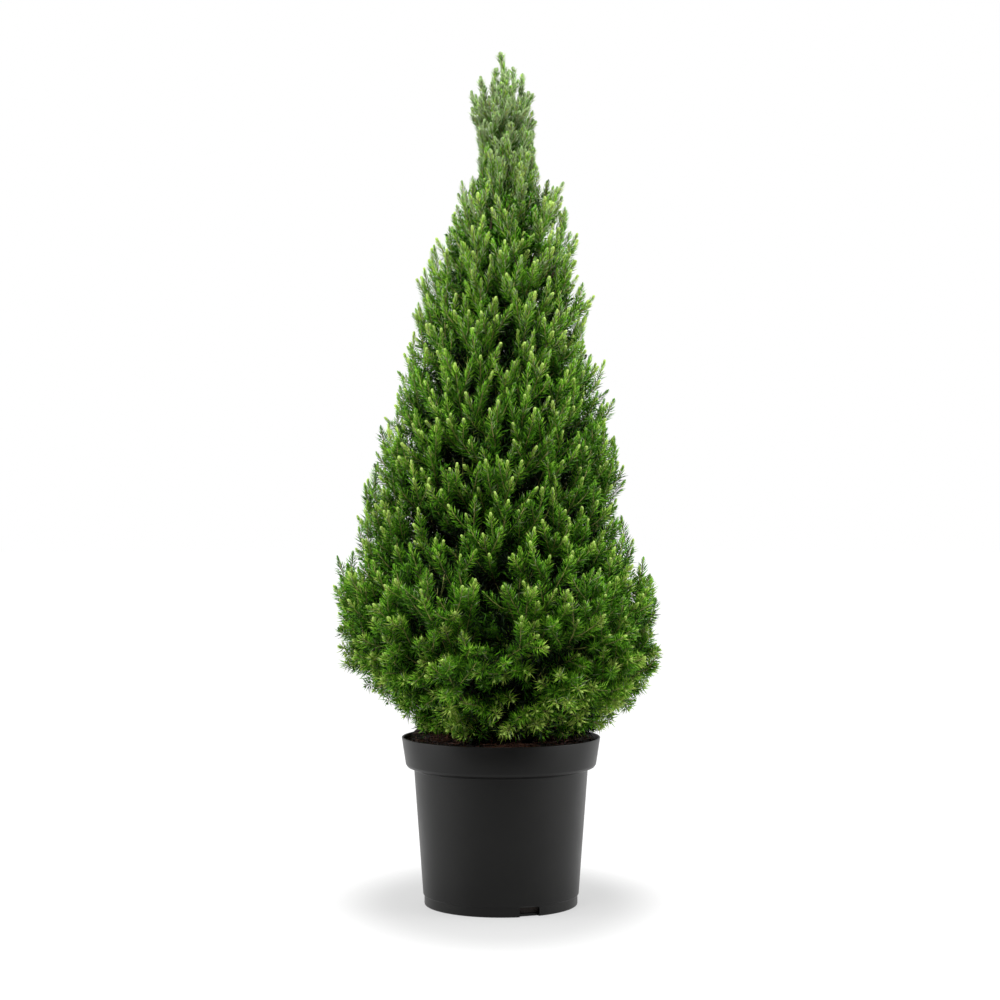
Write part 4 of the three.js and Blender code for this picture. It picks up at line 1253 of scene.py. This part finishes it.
def deepShoots():
    rng = np.random.default_rng(30)
    heights, angles = shootTips(deepFill["count"], *deepFill["band"], first=0.61)
    below = deepFill["under"]
    under = below["count"]
    heights = np.concatenate([heights, rng.uniform(*below["band"], under)])
    angles = np.concatenate([angles, np.arange(under) * goldenAngle])
    count = len(heights)
    room = lobedRadius(heights, angles)
    share = rng.uniform(*deepFill["share"], count) * np.interp(heights, *deepFill["highShare"])
    share[-under:] = np.sqrt(rng.uniform(*below["share"], under))
    behind = room - spotsAt(heights, angles, allHollows()) - deepFill["behindHollow"]
    out = np.minimum(room * share, np.maximum(behind, deepFill["least"]))
    out[-under:] = np.minimum(out[-under:], rng.uniform(*below["radius"], under))
    unevenAngle, unevenHeight = deepFill["uneven"]
    middle = radial(angles + rng.uniform(-unevenAngle, unevenAngle, count)) * out[:, None]
    middle[:, 2] = heights + rng.uniform(-unevenHeight, unevenHeight, count)
    middle[:, 0] += driftAt(heights) * share
    lift = deepFill["lift"] + deepFill["highLift"] * smoothstep(*deepFill["highFrom"], heights)
    direction = unit(rng.normal(0, deepFill["loose"], (count, 3)) + radial(angles) * deepFill["outward"]
                     + np.outer(lift, [0, 0, 1]))
    reach = rng.uniform(*deepFill["half"], count)
    reach = reach * np.clip(room / deepFill["fullRoom"], deepFill["smallest"], 1)
    half = direction * reach[:, None]
    start, end = middle - half, middle + half
    for points in (start, middle, end):  # none stands out past the outline
        points[:, 2] = np.maximum(points[:, 2], pot["height"] + deepFill["overPot"])
        drift = driftAt(points[:, 2]) * share
        x, y = points[:, 0] - drift, points[:, 1]
        inside = lobedRadius(points[:, 2], np.arctan2(y, x)) - deepFill["inset"]
        pull = np.minimum(1, np.maximum(inside, deepFill["nearAxis"]) / np.maximum(np.hypot(x, y), 1))
        points[:, 0], points[:, 1] = drift + x * pull, y * pull
    outer = smoothstep(deepFill["outerFrom"], deepFill["share"][1], out / room)
    outer[-under:] = 0
    return {"start": start, "middle": middle, "end": end, "outer": outer}


# What the shoots have by their place, and how much two neighbours differ.
shoots = {
    "from": (0.22, 0.04, 0.0),  # where the needles begin on a spray's axis, a side shoot, a deep shoot
    "spireFrom": (870, 910), "angle": (0.9, 1.12), "finger": (0.7, 1.2),
    "strongAxes": 0.8, "strongSides": 0.45, "strong": (0.95, 0.15), "weak": (0.3, 0.2), "most": 1.2,
    "innerVigour": 0.2, "unevenShade": 0.25,
}


def shootTable(grown, side):
    root, half, tips = grown["points"]
    rng = grown["rng"]
    inner = grown["inner"]
    deep = deepShoots()
    count, sides, deeps = len(inner), len(side["start"]), len(deep["start"])
    isInner = np.concatenate([inner, inner[side["owner"]], np.ones(deeps, bool)])
    group = np.repeat([0, 1, 2], [count, sides, deeps])  # a spray's axis, a side shoot, a deep shoot
    isDeep = group == 2
    table = {
        "start": np.concatenate([root, side["start"], deep["start"]]),
        "middle": np.concatenate([half, side["middle"], deep["middle"]]),
        "end": np.concatenate([tips, side["end"], deep["end"]]),
        "from": np.array(shoots["from"])[group],
        "deep": isDeep,
    }
    perMm = np.array([needles["axisPerMm"], needles["perMm"], needles["deepPerMm"]])[group]
    perMm = np.where(isInner & ~isDeep, needles["innerPerMm"], perMm)
    heights = table["end"][:, 2]
    inSpire = smoothstep(*shoots["spireFrom"], heights) * ~isDeep
    table["perMm"] = perMm + (needles["spirePerMm"] - perMm) * inSpire
    grownAt = {key: np.interp(heights, growth["height"], row)
               for key, row in growth.items() if key != "height"}
    for key in ("needleLength", "needleAngle", "finger", "closedAngle", "closedLength", "fresh"):
        table[key] = grownAt[key]
    table["needleAngle"] *= rng.uniform(*shoots["angle"], len(heights))
    table["finger"] *= rng.uniform(*shoots["finger"], len(heights))
    table["needleLength"] *= np.where(isDeep, deepLook["longer"], 1)
    table["perMm"] *= np.where(isInner, 1, grownAt["dense"])
    leader = sprays["count"]
    table["perMm"][leader] *= spire["leaderDense"]
    table["closedLength"][leader] *= spire["leaderWide"]
    # Vigorous shoots have the brightest tips; some have hardly grown this year.
    likely = np.where(group == 0, shoots["strongAxes"], shoots["strongSides"])
    strong = rng.uniform(0, 1, len(heights)) < likely
    vigours = [rng.normal(*shoots[key], len(heights)) for key in ("strong", "weak")]
    vigour = np.clip(np.where(strong, *vigours), 0, shoots["most"])
    table["vigour"] = np.where(isInner, vigour * shoots["innerVigour"], vigour)
    # Inner shoots take the core row, which paints shade on them.
    shade = np.where(isInner, grownAt["core"], grownAt["base"])
    shade = shade + rng.normal(0, shoots["unevenShade"], len(heights))
    outer = np.concatenate([np.zeros(count + sides), deep["outer"]])
    # Deep shoots' needles are painted shade, lighter high up and near the skin.
    lighter = deepLook["highShade"] * smoothstep(*deepLook["highFrom"], heights)
    lighter = np.maximum(lighter, deepLook["outerShade"] * outer)
    table["shade"] = np.where(isDeep, deepLook["shade"] + lighter, shade)
    wide = deepLook["width"] + (deepLook["outerWidth"] - deepLook["width"]) * outer
    table["width"] = np.where(isDeep, wide, 1.0)
    return table


# How the shades are dealt out: the higher the number, the lighter the needle. lightShare, lighter, darker
# and contrast set painted light and shade between neighbours.
dealing = {
    "along": (0.6, 0.7), "freshLength": (22, 3), "lightShare": 0.45, "lighter": 1.0, "darker": -0.82,
    "contrast": 0.55, "uneven": 0.35,
    # By height, how many of the lighter needles take the pale painted-sheen colour, and from which shade
    # on.
    "sageSheen": ([300, 600, 800, 900, 940], [0.06, 0.1, 0.28, 0.6, 0.8]), "sheenFrom": 3,
}


def shadeNumbers(table, leaves, rng):
    owner, rest = leaves["owner"], leaves["rest"]
    count, height = len(rest), table["end"][owner, 2]
    gain, full = dealing["along"]
    shade = table["shade"][owner] + gain * smoothstep(0.0, full, leaves["t"])
    fresh = table["fresh"][owner] * table["vigour"][owner]
    shade = shade + fresh * smoothstep(*dealing["freshLength"], rest)
    # Painted light and shade: neighbours on a shoot turn different faces to the light, so some are
    # painted lighter and some darker.
    paintedLit = rng.uniform(0, 1, count) < dealing["lightShare"]
    turned = np.where(paintedLit, dealing["lighter"], dealing["darker"])
    shade = shade + turned * dealing["contrast"] + rng.normal(0, dealing["uneven"], count)
    kind = np.clip(np.floor(shade), 0, len(shades) - 3).astype(int)
    # Painted sheen: some of the lighter needles turn pale grey-green, more of them towards the top.
    sageSheen = rng.uniform(0, 1, count) < np.interp(height, *dealing["sageSheen"])
    kind = np.where(sageSheen & (kind >= dealing["sheenFrom"]), len(shades) - 2, kind)
    within = np.hypot(*leaves["base"][:, :2].T) < deepLook["dryWithin"]
    dry = table["deep"][owner] & (height < deepLook["dryBelow"]) & within
    dry = dry & (rng.uniform(0, 1, count) < deepLook["dryShare"])
    return np.where(dry, len(shades) - 1, kind)


def makeNeedles(grown, side):
    rng = np.random.default_rng(14)
    table = shootTable(grown, side)
    leaves = needleArrays(table, rng)
    kind = shadeNumbers(table, leaves, rng)
    width = table["width"][leaves["owner"]]
    for k, (shade, hexCode) in enumerate(shades):
        material = needleMaterial("needles_" + shade, hexCode)
        mine = np.where(kind == k)[0]
        rng.shuffle(mine)
        pieces = max(1, math.ceil(len(mine) / needles["limit"]))
        for p, part in enumerate(np.array_split(mine, pieces)):
            name = f"needles_{shade}_{p + 1}"
            mesh = needleMesh(name, leaves["base"][part], leaves["direction"][part], leaves["axis"][part],
                              leaves["size"][part], width[part])
            linkMesh(mesh, name, material, foliageNodes)
        print("needles", shade, len(mine), "in", pieces)
    print("needles in all", len(kind), "shoots", len(table["end"]))
    makeBuds(table)


makePeat()
makeCrumbs()
print("peat done")
grown = grownSprays()
side = grownShoots(grown)
makeTwigs(grown, side)
print("twigs done", len(side["start"]))
makeNeedles(grown, side)
makeFibres()
makeFallenNeedles()
print("peat's litter done")


# A floor that glows though it is no lamp, with a painted shadow: it glows less near the pot, round the
# real shadow the lamps cast there. All of this is in metres.
stage = {
    "floorSize": 12.0, "floorFront": 0.515, "floorHex": "#7A7A7A", "nearGlow": 0.52, "farGlow": 0.83,
    "glowFrom": 0.12, "glowTo": 0.24, "glowLong": 0.65,
    "roomLight": 0.63, "sideLight": 0.9, "frontDark": (-0.9, -0.35),
}
lamps = [  # name, power in watts, width, position, aimed at
    ("lamp_left", 19, 1.1, (-2.15, -0.35, 0.7), (0, 0, 0.4)),
    ("lamp_right", 20, 1.1, (2.15, -0.35, 0.7), (0, 0, 0.4)),
    ("lamp_top", 30, 1.0, (0.1, -0.6, 2.3), (0, 0, 0.8)),
    ("lamp_front", 16.5, 0.9, (-0.5, -1.4, 2.1), (0, 0, 0.85)),
]


# A white room whose front wall is dark and whose side walls are the brightest, so that the sides of
# what stands in it are brighter than its middle.
def makeWorld():
    world = bpy.data.worlds.new("studio")
    world.use_nodes = True
    tree = world.node_tree
    tree.nodes.clear()
    where = addNode(tree, "ShaderNodeTexCoord")
    parts = addNode(tree, "ShaderNodeSeparateXYZ", links={0: where.outputs["Generated"]})
    behind = addNode(tree, "ShaderNodeMapRange",
                     {"interpolation_type": "SMOOTHSTEP", "From Min": stage["frontDark"][0],
                      "From Max": stage["frontDark"][1]}, {"Value": parts.outputs["Y"]})
    across = addNode(tree, "ShaderNodeMath", {"operation": "MULTIPLY"},
                     {0: parts.outputs["X"], 1: parts.outputs["X"]})
    walls = addNode(tree, "ShaderNodeMath",
                    {"operation": "MULTIPLY_ADD", 1: stage["sideLight"], 2: stage["roomLight"]},
                    {0: across.outputs[0]})
    level = addNode(tree, "ShaderNodeMath", {"operation": "MULTIPLY"},
                    {0: behind.outputs["Result"], 1: walls.outputs[0]})
    lit = addNode(tree, "ShaderNodeBackground", {"Color": (1, 1, 1, 1)}, {"Strength": level.outputs[0]})
    seen = addNode(tree, "ShaderNodeBackground", {"Color": (1, 1, 1, 1), "Strength": 1.0})
    ray = addNode(tree, "ShaderNodeLightPath")
    both = addNode(tree, "ShaderNodeMixShader",
                   links={0: ray.outputs["Is Camera Ray"], 1: lit.outputs[0], 2: seen.outputs[0]})
    addNode(tree, "ShaderNodeOutputWorld", links={"Surface": both.outputs[0]})
    bpy.context.scene.world = world


def makeStage():
    material, tree = newMaterial("studio_floor")
    where = addNode(tree, "ShaderNodeTexCoord")
    longer = addNode(tree, "ShaderNodeVectorMath",
                     {"operation": "MULTIPLY", 1: (1, stage["glowLong"], 1)},
                     {0: where.outputs["Object"]})
    away = addNode(tree, "ShaderNodeVectorMath", {"operation": "LENGTH"}, {0: longer.outputs["Vector"]})
    # Painted shadow: the glow falls off towards the pot, over a patch stretched from front to back.
    glow = addNode(tree, "ShaderNodeMapRange",
                   {"interpolation_type": "SMOOTHSTEP", "From Min": stage["glowFrom"],
                    "From Max": stage["glowTo"], "To Min": stage["nearGlow"],
                    "To Max": stage["farGlow"]}, {"Value": away.outputs["Value"]})
    shader = addNode(tree, "ShaderNodeBsdfPrincipled",
                     {"Base Color": linear(stage["floorHex"]), "Roughness": 0.7,
                      "Emission Color": (1, 1, 1, 1)}, {"Emission Strength": glow.outputs["Result"]})
    finishMaterial(tree, shader)
    bm = bmesh.new()
    bmesh.ops.create_grid(bm, x_segments=2, y_segments=2, size=stage["floorSize"] / mm)
    bmesh.ops.translate(bm, vec=(0, (stage["floorSize"] - stage["floorFront"]) / mm, 0), verts=bm.verts)
    floor = bpy.data.objects.new("floor", meshFromBmesh(bm, "floor", False))
    floor.data.materials.append(material)
    bpy.context.scene.collection.objects.link(floor)
    for name, power, width, position, target in lamps:
        data = bpy.data.lights.new(name, "AREA")
        data.energy, data.size = power, width
        lamp = bpy.data.objects.new(name, data)
        lamp.location = position
        lamp.rotation_euler = (Vector(target) - Vector(position)).to_track_quat("-Z", "Y").to_euler()
        bpy.context.scene.collection.objects.link(lamp)


makeStage()
makeWorld()
bpy.context.scene.view_settings.view_transform = "Standard"
